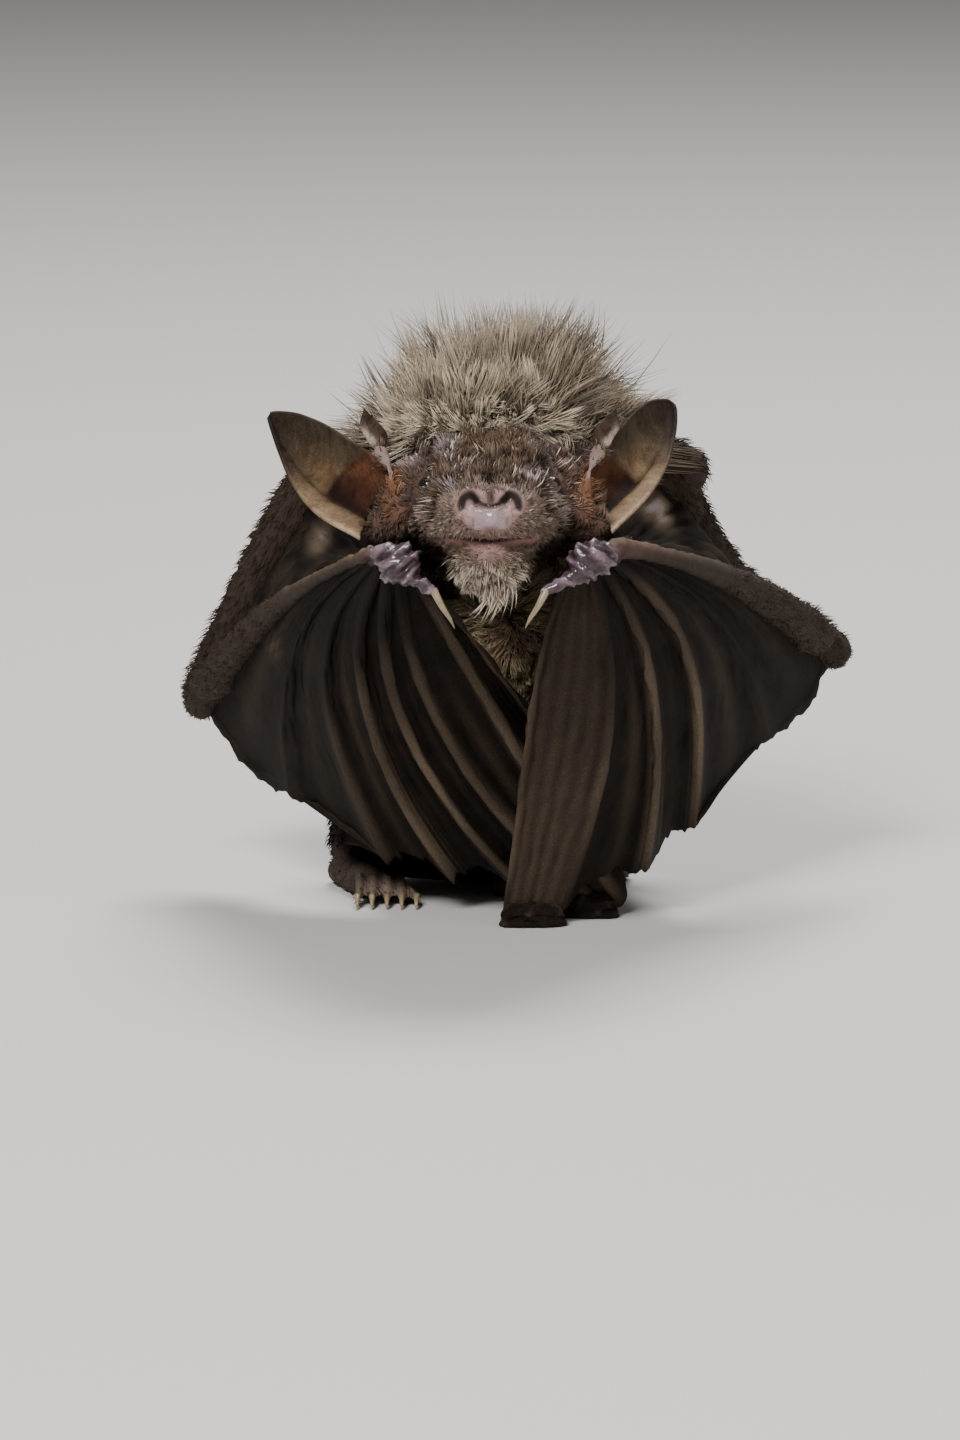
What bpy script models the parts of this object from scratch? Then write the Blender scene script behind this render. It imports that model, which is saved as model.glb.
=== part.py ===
"""A life-size mouse-eared bat that sits upright, its folded wings held in front of it like a cloak.

Sizes are in millimetres until the last step, which turns them into metres. The bat faces -Y, its left
side is +X and +Z is up. The solids of the head, neck, trunk and limbs include the depth of the coat.
"""

import math

import bmesh
import bpy
import numpy as np

MM = 0.001
GAP = 0.3  # clearance between pieces that meet
MEMBRANE = 0.6  # thickness of the wing, ear and tail skins
FAR = 90.0  # larger than the bat
SIDES = ("left", "right")
OUTWARD = {"left": 1, "right": -1}  # the sign of X on each side

EYE = (3.9, 10.8, 30.2)  # the left one, which the right one mirrors
EYE_RADIUS = 0.7
NOSE = (0.0, 5.3, 29.3)
NOSE_SIZE = (2.0, 1.4, 1.5)  # half width, half depth and half height
WRIST_SIZE = (1.9, 1.6, 1.6)

# joints and tips, as x, y and height above the floor
WRIST = {"left": (6.2, 7.8, 26.1), "right": (-5.6, 7.8, 25.9)}
ELBOW = {"left": (22.4, 38.0, 15.4), "right": (-18.8, 37.6, 12.2)}
SHOULDER = {"left": (10.2, 26.0, 29.4), "right": (-10.0, 26.0, 29.0)}
UPPER_ARM_BOW = {"left": (-0.9, 0.3, 0.3), "right": (0.0, 0.3, 0.8)}
HIP = {"left": (4.8, 38.6, 9.6), "right": (-1.6, 38.6, 9.6)}
KNEE = {"left": (11.2, 41.0, 13.4), "right": (-8.0, 41.0, 13.4)}
ANKLE = {"left": (8.4, 38.4, 2.4), "right": (-9.6, 36.8, 2.4)}
TOES = {"left": (6.4, 31.6, 0.9), "right": (-6.6, 30.2, 0.9)}

# from the base to the tip: the inner edge of each ear, then its outer edge
EAR_EDGES = {
    "left": (
        [(5.2, 13.2, 30.4), (7.2, 15.9, 32.0), (9.0, 19.2, 33.6), (10.7, 22.2, 34.4)],
        [(7.6, 12.1, 27.6), (9.5, 15.9, 29.1), (11.1, 19.4, 31.0), (11.8, 22.1, 33.2)],
    ),
    "right": (
        [(-5.4, 13.2, 30.6), (-8.2, 15.9, 32.0), (-10.6, 19.1, 33.0), (-13.6, 22.4, 33.6)],
        [(-8.2, 12.0, 27.2), (-10.5, 15.7, 28.1), (-12.4, 19.2, 30.0), (-14.0, 22.0, 32.5)],
    ),
}

# centre of the trunk and neck, then half width, height to the back and depth to the belly
TORSO = [
    (0.0, 16.8, 28.6, 5.8, 4.9, 4.6),
    (-0.6, 18.8, 28.7, 8.0, 7.4, 5.4),
    (-0.6, 21.6, 28.5, 9.4, 9.6, 6.4),
    (0.9, 25.4, 27.6, 10.8, 12.0, 7.4),
    (2.5, 30.2, 24.0, 10.7, 11.6, 7.4),
    (2.6, 34.2, 18.8, 9.9, 10.0, 6.8),
    (2.3, 37.4, 13.4, 8.4, 8.0, 5.8),
    (1.9, 39.8, 9.0, 6.2, 5.8, 4.6),
    (1.6, 41.4, 6.2, 3.4, 3.2, 2.8),
]
NECK_END = 22.6  # how far back the neck reaches
HEAD = [
    (0.0, 7.0, 29.0, 3.1, 2.0, 1.8),
    (0.0, 7.9, 28.9, 3.8, 2.6, 2.1),
    (0.0, 9.2, 28.8, 4.3, 3.1, 2.5),
    (0.0, 11.4, 28.9, 4.7, 3.6, 3.0),
    (0.0, 13.8, 28.8, 5.7, 3.9, 4.0),
    (0.0, 16.2, 28.6, 5.9, 4.2, 4.6),
    (0.0, 18.2, 28.3, 4.9, 4.1, 4.2),
]
JAW = [
    (0.0, 7.3, 26.0, 2.3, 1.3, 2.9),
    (0.0, 8.2, 25.8, 3.1, 1.6, 3.1),
    (0.0, 9.8, 25.6, 3.6, 1.8, 2.5),
    (0.0, 12.2, 25.3, 3.9, 1.8, 2.2),
    (0.0, 14.2, 25.0, 3.6, 1.4, 1.6),
]

TAIL = [  # down from the rump, then forward along the floor under the belly
    (1.5, 43.2, 4.6, 1.5),
    (1.4, 45.0, 2.9, 1.2),
    (1.3, 44.6, 1.2, 1.0),
    (1.1, 41.4, 0.8, 0.9),
    (0.9, 37.6, 0.7, 0.8),
    (0.7, 33.6, 0.6, 0.7),
]

# ends of the wing's struts, from the third finger round to the elbow, and how far each strut bows
WING = {
    "left": [
        (0.9, 23.6, 1.3, 0.4, -2.0, 0.8),
        (4.6, 23.8, 1.3, 0.4, -2.0, 0.8),
        (9.8, 25.2, 2.9, 0.6, -1.8, 1.0),
        (13.0, 27.2, 5.4, 1.0, -1.2, 1.2),
        (18.0, 32.0, 10.4, 1.0, -0.6, 1.3),
        (22.4, 38.0, 15.4, 0.4, 0.0, 1.3),
    ],
    "right": [
        (8.0, 26.4, 1.3, -0.2, 0.4, 0.0),
        (3.4, 27.0, 1.3, -0.4, -0.4, 0.2),
        (-1.4, 27.2, 1.9, -0.6, -1.0, 0.6),
        (-6.4, 28.2, 3.0, -0.8, -1.2, 0.8),
        (-12.8, 32.4, 6.6, -1.0, -0.8, 1.2),
        (-18.8, 37.6, 12.2, -0.6, 0.0, 1.4),
    ],
}
FIFTH_FINGER = 2  # the strut where the hand part of the wing meets the arm part
PALM = 0.08  # how wide the fan of fingers is at the wrist, as a share of its width at the floor
WING_START = 0.03  # where the skin starts, inside the wrist
WING_ROWS = 9  # places counted from the wrist down
STRUT_STEPS = 24  # places counted in each space between two struts
PLEAT = 0.75  # how deep the skin sags between two struts
INWARD = (0.0, 0.85, 0.5)  # the direction of that sag

MATERIALS = {  # colour and roughness
    "fur": ((0.20, 0.155, 0.115), 0.9),
    "face_fur": ((0.085, 0.060, 0.048), 0.85),
    "bare_skin": ((0.26, 0.17, 0.165), 0.5),
    "ear_skin": ((0.16, 0.105, 0.075), 0.6),
    "wing_skin": ((0.030, 0.023, 0.020), 0.55),
    "claw": ((0.09, 0.07, 0.055), 0.35),
    "eye": ((0.004, 0.003, 0.003), 0.08),
}


# ---------------------------------------------------------------- tools
def material(name):
    """The named Principled material, made once."""
    if name in bpy.data.materials:
        return bpy.data.materials[name]
    colour, roughness = MATERIALS[name]
    made = bpy.data.materials.new(name)
    made.use_nodes = True
    shader = made.node_tree.nodes["Principled BSDF"]
    shader.inputs["Base Color"].default_value = (*colour, 1)
    shader.inputs["Roughness"].default_value = roughness
    shader.inputs["Metallic"].default_value = 0
    return made


def flow(rows, count):
    """Rows of numbers resampled to count rows on a smooth curve through them."""
    rows = np.array(rows, float)
    padded = np.vstack([2 * rows[0] - rows[1], rows, 2 * rows[-1] - rows[-2]])
    out = []
    for t in np.linspace(0, len(rows) - 1, count):
        i = min(int(t), len(rows) - 2)
        f = t - i
        a, b, c, d = padded[i : i + 4]
        bend = (2 * a - 5 * b + 4 * c - d) * f**2 + (3 * b - 3 * c + d - a) * f**3
        out.append(b + 0.5 * ((c - a) * f + bend))
    return np.array(out)


def new_object(name, tool):
    """An object made from a bmesh, with its faces turned outward."""
    bmesh.ops.recalc_face_normals(tool, faces=tool.faces)
    if tool.calc_volume(signed=True) < 0:
        bmesh.ops.reverse_faces(tool, faces=tool.faces)
    mesh = bpy.data.meshes.new(name)
    tool.to_mesh(mesh)
    tool.free()
    made = bpy.data.objects.new(name, mesh)
    bpy.context.scene.collection.objects.link(made)
    return made


def from_faces(name, points, faces):
    tool = bmesh.new()
    verts = [tool.verts.new(p) for p in points]
    for face in faces:
        tool.faces.new([verts[i] for i in face])
    return new_object(name, tool)


def loft(name, stations, rings=12, sides=10, grow=0.0, fullness=1.0):
    """A closed body with rounded ends along a smooth curve.

    A station is x, y, z and either a radius or a half width, a height above and a depth below.
    A fullness under 1 squares the rings a little.
    """
    rows = flow(stations, rings)
    if rows.shape[1] == 4:
        rows = np.column_stack([rows, rows[:, 3], rows[:, 3]])
    rows[:, 3:] = np.maximum(rows[:, 3:], 0.1) + grow
    way_in = rows[0, :3] - rows[1, :3]
    way_out = rows[-1, :3] - rows[-2, :3]
    caps = []
    for row, way in ((rows[0], way_in), (rows[-1], way_out)):
        reach = way / np.linalg.norm(way) * row[3:].mean()
        for share in (0.55, 0.85):
            caps.append(np.append(row[:3] + reach * share, row[3:] * math.sqrt(1 - share**2)))
    rows = np.vstack([caps[1], caps[0], rows, caps[2], caps[3]])
    path = rows[:, :3]
    along = np.gradient(path, axis=0)
    along /= np.linalg.norm(along, axis=1)[:, None]
    upright = (0, 0, 1) if abs(along[0][2]) < 0.9 else (0, 1, 0)
    across = np.cross(upright, along[0])
    points, faces = [], []
    for centre, way, (width, above, below) in zip(path, along, rows[:, 3:]):
        across = across - way * across.dot(way)
        across /= np.linalg.norm(across)
        upward = np.cross(way, across)
        for k in range(sides):
            angle = math.tau * k / sides
            x, z = (math.copysign(abs(v) ** fullness, v) for v in (math.cos(angle), math.sin(angle)))
            points.append(centre + across * x * width + upward * z * (above if z > 0 else below))
    for r in range(len(rows) - 1):
        for k in range(sides):
            n = (k + 1) % sides
            faces.append((r * sides + k, r * sides + n, (r + 1) * sides + n, (r + 1) * sides + k))
    faces.append(range(sides))
    faces.append(range((len(rows) - 1) * sides, len(rows) * sides))
    return from_faces(name, points, faces)


def egg(name, centre, half_sizes, grow=0.0):
    """An ellipsoid."""
    tool = bmesh.new()
    bmesh.ops.create_uvsphere(tool, u_segments=10, v_segments=6, radius=1)
    bmesh.ops.scale(tool, verts=tool.verts, vec=[size + grow for size in half_sizes])
    bmesh.ops.translate(tool, verts=tool.verts, vec=centre)
    return new_object(name, tool)


def block(name, low, high):
    """A box between two corners."""
    low, high = np.array(low, float), np.array(high, float)
    tool = bmesh.new()
    bmesh.ops.create_cube(tool, size=1)
    bmesh.ops.scale(tool, verts=tool.verts, vec=high - low)
    bmesh.ops.translate(tool, verts=tool.verts, vec=(high + low) / 2)
    return new_object(name, tool)


def membrane(name, grid, thickness=MEMBRANE, pleats=0.0):
    """A closed skin about a grid of points, pushed sideways by the pleats."""
    rows, columns = grid.shape[:2]
    normals = np.cross(np.gradient(grid, axis=0), np.gradient(grid, axis=1))
    normals /= np.maximum(np.linalg.norm(normals, axis=2), 1e-9)[..., None]
    grid = grid + pleats
    half = np.broadcast_to(thickness, (rows, columns))[..., None] / 2
    points = np.vstack([(grid + normals * half).reshape(-1, 3), (grid - normals * half).reshape(-1, 3)])
    under = rows * columns
    faces = []
    for r in range(rows - 1):
        for c in range(columns - 1):
            corner = r * columns + c
            quad = (corner, corner + 1, corner + columns + 1, corner + columns)
            faces.append(quad)
            faces.append([under + i for i in reversed(quad)])
    rim = list(range(columns))
    rim += [r * columns + columns - 1 for r in range(1, rows)]
    rim += [(rows - 1) * columns + c for c in range(columns - 2, -1, -1)]
    rim += [r * columns for r in range(rows - 2, 0, -1)]
    for i, j in zip(rim, rim[1:] + rim[:1]):
        faces.append((j, i, under + i, under + j))
    return from_faces(name, points, faces)


def boolean(target, others, operation):
    """Applies a Boolean of each of the others to target, and removes the others."""
    for other in others:
        step = target.modifiers.new(operation.lower(), "BOOLEAN")
        step.operation = operation
        step.object = other
        step.solver = "MANIFOLD"  # a grown copy of a thin curved skin can cross itself
        bpy.context.view_layer.update()
        graph = bpy.context.evaluated_depsgraph_get()
        mesh = bpy.data.meshes.new_from_object(target.evaluated_get(graph))
        target.modifiers.clear()
        target.data = mesh
        bpy.data.objects.remove(other)
    return target


def without(target, *cutters):
    return boolean(target, cutters, "DIFFERENCE")


def joined(target, *others):
    return boolean(target, others, "UNION")


def grounded(target):
    """Cuts away what would reach below the floor, which leaves a small flat."""
    return without(target, block("ground", (-FAR, -FAR, -FAR), (FAR, FAR, 0)))


def finished(target, material_name):
    """Keeps the largest piece that the cuts left, and gives it its material and shading."""
    tool = bmesh.new()
    tool.from_mesh(target.data)
    bmesh.ops.remove_doubles(tool, verts=tool.verts, dist=0.0005)
    bmesh.ops.triangulate(tool, faces=tool.faces)
    left, pieces = set(tool.verts), []
    while left:
        stack, piece = [left.pop()], []
        while stack:
            vert = stack.pop()
            piece.append(vert)
            for edge in vert.link_edges:
                other = edge.other_vert(vert)
                if other in left:
                    left.remove(other)
                    stack.append(other)
        pieces.append(piece)
    for piece in sorted(pieces, key=len)[:-1]:
        bmesh.ops.delete(tool, geom=piece, context="VERTS")
    tool.to_mesh(target.data)
    tool.free()
    target.data.materials.clear()
    target.data.materials.append(material(material_name))
    target.data.shade_smooth()
    target.data.set_sharp_from_angle(angle=math.radians(50))
    return target


def between(start, end, share, bow=(0, 0, 0)):
    """A point part of the way from start to end, pushed sideways by the bow at half way."""
    start, end, bow = (np.array(v, float) for v in (start, end, bow))
    return start + (end - start) * share + bow * math.sin(math.pi * share)


# ---------------------------------------------------------------- the body's own shapes
def torso(grow=0.0):
    return loft("torso", TORSO, rings=14, sides=18, grow=grow, fullness=0.85)


def skull(grow=0.0):
    return loft("head", HEAD, rings=10, sides=16, grow=grow)


def wing_point(side, strut, reach):
    """A point of the wing's fan, at a share of the way from the wrist to the end of a strut."""
    end, bow = np.array(strut[:3]), np.array(strut[3:])
    middle = np.mean([row[:3] for row in WING[side]], axis=0)
    spread = (end - middle) * (PALM + (1 - PALM) * reach)
    return np.array(WRIST[side]) * (1 - reach) + middle * reach + spread + bow * math.sin(math.pi * reach)


def forearm_point(side, reach):
    """The forearm is the last strut of the fan."""
    return wing_point(side, WING[side][-1], reach)


def jaw(grow=0.0):
    return loft("lower_jaw", JAW, rings=6, sides=12, grow=grow)


def forearm(side, grow=0.0):
    """Thin and bare at the wrist, thick and furry at the elbow, bowed upward."""
    spots = [(*forearm_point(side, t), r)
             for t, r in ((0.04, 1.2), (0.25, 1.1), (0.5, 1.4), (0.75, 1.7), (0.92, 1.8))]
    return loft("forearm_" + side, spots, rings=8, sides=8, grow=grow)


def upper_arm(side, grow=0.0):
    """From the shoulder out and down to the elbow, bowed outward."""
    spots = [(*between(SHOULDER[side], ELBOW[side], t, UPPER_ARM_BOW[side]), r)
             for t, r in ((0.06, 2.3), (0.3, 2.1), (0.55, 1.8), (0.8, 1.6), (0.96, 1.6))]
    return loft("upper_arm_" + side, spots, rings=7, sides=8, grow=grow)


def wrist(side, grow=0.0):
    return egg("wrist_" + side, WRIST[side], WRIST_SIZE, grow)


def thumb(side, grow=0.0):
    """Bent in and down beside the chin."""
    x, y, z = WRIST[side]
    out = OUTWARD[side]
    spots = [(x - 0.7 * out, y - 1.5, z - 1.5, 0.8), (x - 1.4 * out, y - 1.6, z - 2.9, 0.6),
             (x - 2.2 * out, y - 1.2, z - 4.0, 0.5)]
    return loft("thumb_" + side, spots, rings=4, sides=8, grow=grow)


def thumb_claw(side):
    """A small hook at the end of the thumb."""
    x, y, z = WRIST[side]
    out = OUTWARD[side]
    spots = [(x - 2.3 * out, y - 1.2, z - 4.1, 0.4), (x - 2.8 * out, y - 1.3, z - 4.8, 0.34),
             (x - 3.0 * out, y - 1.0, z - 5.7, 0.25)]
    return loft("thumb_claw_" + side, spots, rings=4, sides=7)


def thigh(side, grow=0.0):
    spots = [(*between(HIP[side], KNEE[side], t), r) for t, r in ((0.1, 2.4), (0.6, 2.0), (0.95, 1.5))]
    return loft("thigh_" + side, spots, rings=5, sides=8, grow=grow)


def shank(side, grow=0.0):
    spots = [(*between(KNEE[side], ANKLE[side], t), r) for t, r in ((0.02, 1.4), (0.5, 1.1), (0.95, 0.9))]
    return loft("shank_" + side, spots, rings=5, sides=8, grow=grow)


def foot(side, grow=0.0):
    """A flat foot with five toes that end in hooked claws."""
    ankle, toes = np.array(ANKLE[side]), np.array(TOES[side])
    heel = ankle * (1, 1, 0) + (0, 1.0, 0.9)
    pad = between(heel, toes, 0.62)
    made = loft("foot_" + side, [(*heel, 1.1), (*between(heel, toes, 0.3), 1.2), (*pad, 1.3)], 4, 8, grow)
    for k in range(5):
        spread = (k - 2) * 0.95
        root = pad + (spread * 0.45, 0.4, 0.1)
        knuckle = between(root, toes + (spread, 0, 0.2), 0.62, (0, 0, 0.5))
        tip = toes + (spread, -0.4, -0.4)
        toe = loft("toe", [(*root, 0.55), (*knuckle, 0.5), (*tip, 0.36)], 3, 5, grow)
        joined(made, toe)
    return made


def tail(grow=0.0):
    return loft("tail", TAIL, rings=10, sides=8, grow=grow)


# ---------------------------------------------------------------- the wings
def wing_skin(name, side, first, last, columns, arc):
    """The pleated skin between two struts of the wing. Fingers stand out as ridges on it.

    Skin sags between the struts, and its free edge is cut away there in arcs.
    """
    struts = flow(WING[side], (len(WING[side]) - 1) * STRUT_STEPS + 1)
    grid = np.zeros((WING_ROWS, columns, 3))
    thick, sag = np.zeros((WING_ROWS, columns)), np.zeros((WING_ROWS, columns))
    for c, spot in enumerate(np.linspace(first, last, columns)):
        strut = struts[int(round(spot * STRUT_STEPS))]
        slack = math.sin(math.pi * spot) ** 2
        for r in range(WING_ROWS):
            reach = WING_START + (1 - WING_START - arc * slack) * r / (WING_ROWS - 1)
            grid[r, c] = wing_point(side, strut, reach)
            sag[r, c] = PLEAT * slack * math.sin(math.pi / 2 * min(reach * 1.3, 1))
            thick[r, c] = MEMBRANE + (1 - slack) ** 3 * min(3 * reach, 0.7 - 0.4 * reach)
    width = np.linalg.norm(np.diff(grid, axis=1), axis=2).sum(axis=1)
    middle = grid.mean(axis=1, keepdims=True)
    grid = middle + (grid - middle) * (1 - GAP / width)[:, None, None]
    return membrane(name, grid, thick, sag[..., None] * INWARD)


def ruled(name, first_edge, second_edge, rows, columns, sag=(0, 0, 0)):
    """A skin from one smooth edge to another, which sags half way between them."""
    one, two = flow(first_edge, rows), flow(second_edge, rows)
    grid = np.zeros((rows, columns, 3))
    slack = np.minimum(np.linalg.norm(two - one, axis=1) / 8, 1)[:, None]
    for c in range(columns):
        share = c / (columns - 1)
        grid[:, c] = one + (two - one) * share + np.array(sag) * slack * math.sin(math.pi * share)
    return membrane(name, grid)


def front_web(side):
    """The skin ahead of the elbow, from the shoulder and upper arm to the forearm and wrist."""
    lower = [forearm_point(side, t) for t in (0.06, 0.25, 0.45, 0.65, 0.8, 0.95)]
    clear = (1.4 * OUTWARD[side], 0, -1.8)  # of the neck
    upper = [between(WRIST[side], SHOULDER[side], t, clear) for t in (0.1, 0.55, 1.0)]
    upper += [between(SHOULDER[side], ELBOW[side], t, UPPER_ARM_BOW[side]) for t in (0.3, 0.65, 0.95)]
    return ruled("front_web_" + side, lower, upper, 9, 4, (0.3 * OUTWARD[side], 0.2, -0.5))


def flank_wing(side):
    """The skin behind the arm, from the elbow and the wing's free edge in to the flank and ankle."""
    out = OUTWARD[side]
    fourth, fifth = (np.array(WING[side][k][:3]) for k in (3, 4))
    elbow, ankle = np.array(ELBOW[side]), np.array(ANKLE[side])
    outer = [elbow + (0.2 * out, 0.8, -1.0), fifth + (0, 1.6, 0.6), fourth + (0.8 * out, 3.0, 0.6),
             ankle + (0.4 * out, -2.0, 1.0)]
    armpit = np.array(SHOULDER[side]) + (-0.5 * out, 4.5, -5.5)
    inner = [armpit, between(armpit, ankle, 0.35, (0, 2.0, 0)),
             between(armpit, ankle, 0.7, (-0.8 * out, 1.8, 0)), ankle + (-0.8 * out, 0.2, 3.2)]
    return ruled("flank_wing_" + side, outer, inner, 8, 5, (0, 0.8, 0.8))


def tail_web(side):
    """The skin from the tail to the leg, which lies along the floor with the tail."""
    knee, ankle, end = (np.array(v) for v in (KNEE[side], ANKLE[side], TAIL[-1][:3]))
    by_tail = [row[:3] for row in TAIL]
    by_leg = [between(knee, ankle, 0.3), between(knee, ankle, 0.7), ankle + (0, 0.6, -0.9),
              between(ankle, end, 0.35, (0, 0.5, -0.5)) * (1, 1, 0) + (0, 0, 0.9),
              between(ankle, end, 0.7, (0, 0.5, 0)) * (1, 1, 0) + (0, 0, 0.8),
              end + (1.5 * OUTWARD[side], -0.6, 0.2)]
    return ruled("tail_web_" + side, by_tail, by_leg, 9, 4)


def finger_tips(side, grow=0.0):
    """The folded finger ends, in one small roll that rests on the floor."""
    start, end = (np.array(WING[side][k][:3]) * (1, 1, 0) + (0, 0, 0.8) for k in (0, 1))
    spots = [(*between(start, end, t, (0, -0.3, 0)), 1.0) for t in (0.05, 0.5, 0.95)]
    return loft("finger_tips_" + side, spots, rings=4, sides=8, grow=grow)


# ---------------------------------------------------------------- the ears
def ear(side, grow=0.0):
    """A pointed shell, open to the front, between its inner and its outer edge."""
    rows, columns = 8, 7
    inner, outer = (flow(edge, rows) for edge in EAR_EDGES[side])
    away = np.array((0.25 * OUTWARD[side], 0.9, -0.1))
    grid = np.zeros((rows, columns, 3))
    for r in range(rows):
        depth = 0.5 * min(np.linalg.norm(outer[r] - inner[r]), 5.4)
        for c in range(columns):
            share = c / (columns - 1)
            hollow = depth * math.sin(math.pi * share) ** 0.8
            grid[r, c] = inner[r] + (outer[r] - inner[r]) * share + hollow * away
    return membrane("ear_" + side, grid, MEMBRANE + 2 * grow)


def tragus(side, grow=0.0):
    """The small lance in front of the ear's opening."""
    out = OUTWARD[side]
    spots = [(6.5 * out, 12.2, 28.6, 0.9, 0.35, 0.35), (7.3 * out, 13.0, 30.0, 0.75, 0.3, 0.3),
             (8.0 * out, 14.2, 31.4, 0.35, 0.3, 0.3)]
    return loft("tragus_" + side, spots, rings=5, sides=8, grow=grow)


# ---------------------------------------------------------------- build
for old in list(bpy.data.objects):
    bpy.data.objects.remove(old)

trunk = without(torso(), block("front", (-FAR, -FAR, -FAR), (FAR, NECK_END + GAP / 2, FAR)))
neck = without(torso(), block("back", (-FAR, NECK_END - GAP / 2, -FAR), (FAR, FAR, FAR)), skull(GAP))
trunk.name, neck.name = "trunk", "neck"
head = skull()
lower_jaw = without(jaw(), skull(GAP), torso(GAP))
nose = without(egg("nose_pad", NOSE, NOSE_SIZE), skull(GAP))
finished(trunk, "fur")
finished(neck, "fur")
finished(lower_jaw, "face_fur")
finished(nose, "bare_skin")
finished(grounded(without(tail(), torso(GAP))), "fur")

for side in SIDES:
    eye_spot = np.array(EYE) * (OUTWARD[side], 1, 1)
    without(head, egg("socket", eye_spot, [EYE_RADIUS] * 3, GAP))
    finished(egg("eye_" + side, eye_spot, [EYE_RADIUS] * 3), "eye")
    finished(without(ear(side), skull(GAP), torso(GAP)), "ear_skin")
    finished(without(tragus(side), skull(GAP), ear(side, GAP)), "ear_skin")

    finished(without(upper_arm(side), torso(GAP)), "fur")
    finished(without(forearm(side), upper_arm(side, GAP), wrist(side, GAP), ear(side, GAP)), "fur")
    finished(without(wrist(side), skull(GAP), jaw(GAP)), "bare_skin")
    finished(without(thumb(side), wrist(side, GAP), jaw(GAP)), "bare_skin")
    finished(without(thumb_claw(side), thumb(side, GAP), jaw(GAP)), "claw")

    hand = wing_skin("hand_wing_" + side, side, 0, FIFTH_FINGER, 9, 0.04)
    finished(without(hand, wrist(side, GAP), thumb(side, GAP), finger_tips(side, GAP)), "wing_skin")
    arm = wing_skin("arm_wing_" + side, side, FIFTH_FINGER, 5, 13, 0.02)
    finished(without(arm, forearm(side, GAP), wrist(side, GAP), upper_arm(side, GAP)), "wing_skin")
    finished(grounded(finger_tips(side)), "wing_skin")
    web = without(front_web(side), forearm(side, GAP), upper_arm(side, GAP), wrist(side, GAP))
    finished(without(web, torso(GAP), ear(side, GAP), skull(GAP)), "wing_skin")
    web = without(flank_wing(side), forearm(side, GAP), upper_arm(side, GAP), torso(GAP))
    finished(without(web, thigh(side, GAP), shank(side, GAP), foot(side, GAP)), "wing_skin")

    finished(without(thigh(side), torso(GAP)), "fur")
    finished(without(shank(side), thigh(side, GAP), torso(GAP)), "fur")
    finished(grounded(without(foot(side), shank(side, GAP))), "bare_skin")
    web = without(tail_web(side), torso(GAP), tail(GAP), thigh(side, GAP))
    finished(grounded(without(web, shank(side, GAP), foot(side, GAP))), "wing_skin")
finished(head, "face_fur")

# metres, with the origin under the middle of the bat
spots = np.array([v.co for thing in bpy.data.objects for v in thing.data.vertices])
middle = (spots.min(axis=0) + spots.max(axis=0)) / 2 * (1, 1, 0)
for thing in bpy.data.objects:
    for vert in thing.data.vertices:
        vert.co = [(value - shift) * MM for value, shift in zip(vert.co, middle)]
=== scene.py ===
import math

import bmesh
import bpy
import numpy as np
from mathutils import Matrix, Vector
from mathutils.kdtree import KDTree


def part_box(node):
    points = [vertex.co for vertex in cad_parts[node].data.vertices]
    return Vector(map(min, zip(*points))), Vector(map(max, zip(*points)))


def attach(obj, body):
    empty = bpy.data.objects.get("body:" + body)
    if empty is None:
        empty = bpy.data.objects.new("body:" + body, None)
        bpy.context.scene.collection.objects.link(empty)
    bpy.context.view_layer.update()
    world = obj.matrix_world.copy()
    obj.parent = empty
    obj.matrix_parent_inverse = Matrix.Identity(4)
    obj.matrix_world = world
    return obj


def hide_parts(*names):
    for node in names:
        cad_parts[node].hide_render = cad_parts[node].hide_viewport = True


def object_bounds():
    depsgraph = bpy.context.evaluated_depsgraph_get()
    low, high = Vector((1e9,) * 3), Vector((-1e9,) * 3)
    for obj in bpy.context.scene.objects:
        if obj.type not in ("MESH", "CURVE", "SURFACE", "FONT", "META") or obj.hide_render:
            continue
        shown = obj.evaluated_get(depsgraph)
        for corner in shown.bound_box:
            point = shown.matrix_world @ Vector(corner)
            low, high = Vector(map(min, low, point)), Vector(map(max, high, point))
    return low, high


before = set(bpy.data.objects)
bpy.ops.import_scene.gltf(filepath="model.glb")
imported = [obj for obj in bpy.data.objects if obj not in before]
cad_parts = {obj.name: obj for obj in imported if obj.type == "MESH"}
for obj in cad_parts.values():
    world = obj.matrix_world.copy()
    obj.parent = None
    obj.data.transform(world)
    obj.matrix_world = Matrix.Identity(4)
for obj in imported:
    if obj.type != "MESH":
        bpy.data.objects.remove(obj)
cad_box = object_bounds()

# ---------------------------------------------------------------- camera, lights and floor
# The bat sits on a plain pale floor under soft studio light, and the camera looks it in the face from a
# little above. Places are in millimetres, counted from START: the floor below the tip of the muzzle.
MM = 0.001
EYE = (3.9, 10.8, 30.2)  # the left eye from START; the right one mirrors it
boxes = [corner for side in ("left", "right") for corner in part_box("eye_" + side)]
START = sum(boxes, Vector()) / 4 - Vector((0, EYE[1], EYE[2])) * MM
TO_ROW = Matrix.Translation(START) @ Matrix.Scale(MM, 4)


def place(x, y, z):
    return TO_ROW @ Vector((x, y, z))


TILT = math.radians(10)
AIM = place(-0.606, 2.157, 17.13)
FAR_OFF = 0.48
SENSOR = 36
SEEN = 0.08727  # the height the camera shows there
camera = bpy.data.objects.new("camera", bpy.data.cameras.new("camera"))
camera.location = AIM + Vector((0, -math.cos(TILT), math.sin(TILT))) * FAR_OFF
camera.rotation_euler = (math.pi / 2 - TILT, 0, 0)
camera.data.sensor_fit = "VERTICAL"
camera.data.sensor_height = SENSOR
camera.data.lens = SENSOR * FAR_OFF / SEEN
camera.data.clip_start = 0.05
camera.data.clip_end = 10
bpy.context.scene.collection.objects.link(camera)
bpy.context.scene.camera = camera

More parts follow.
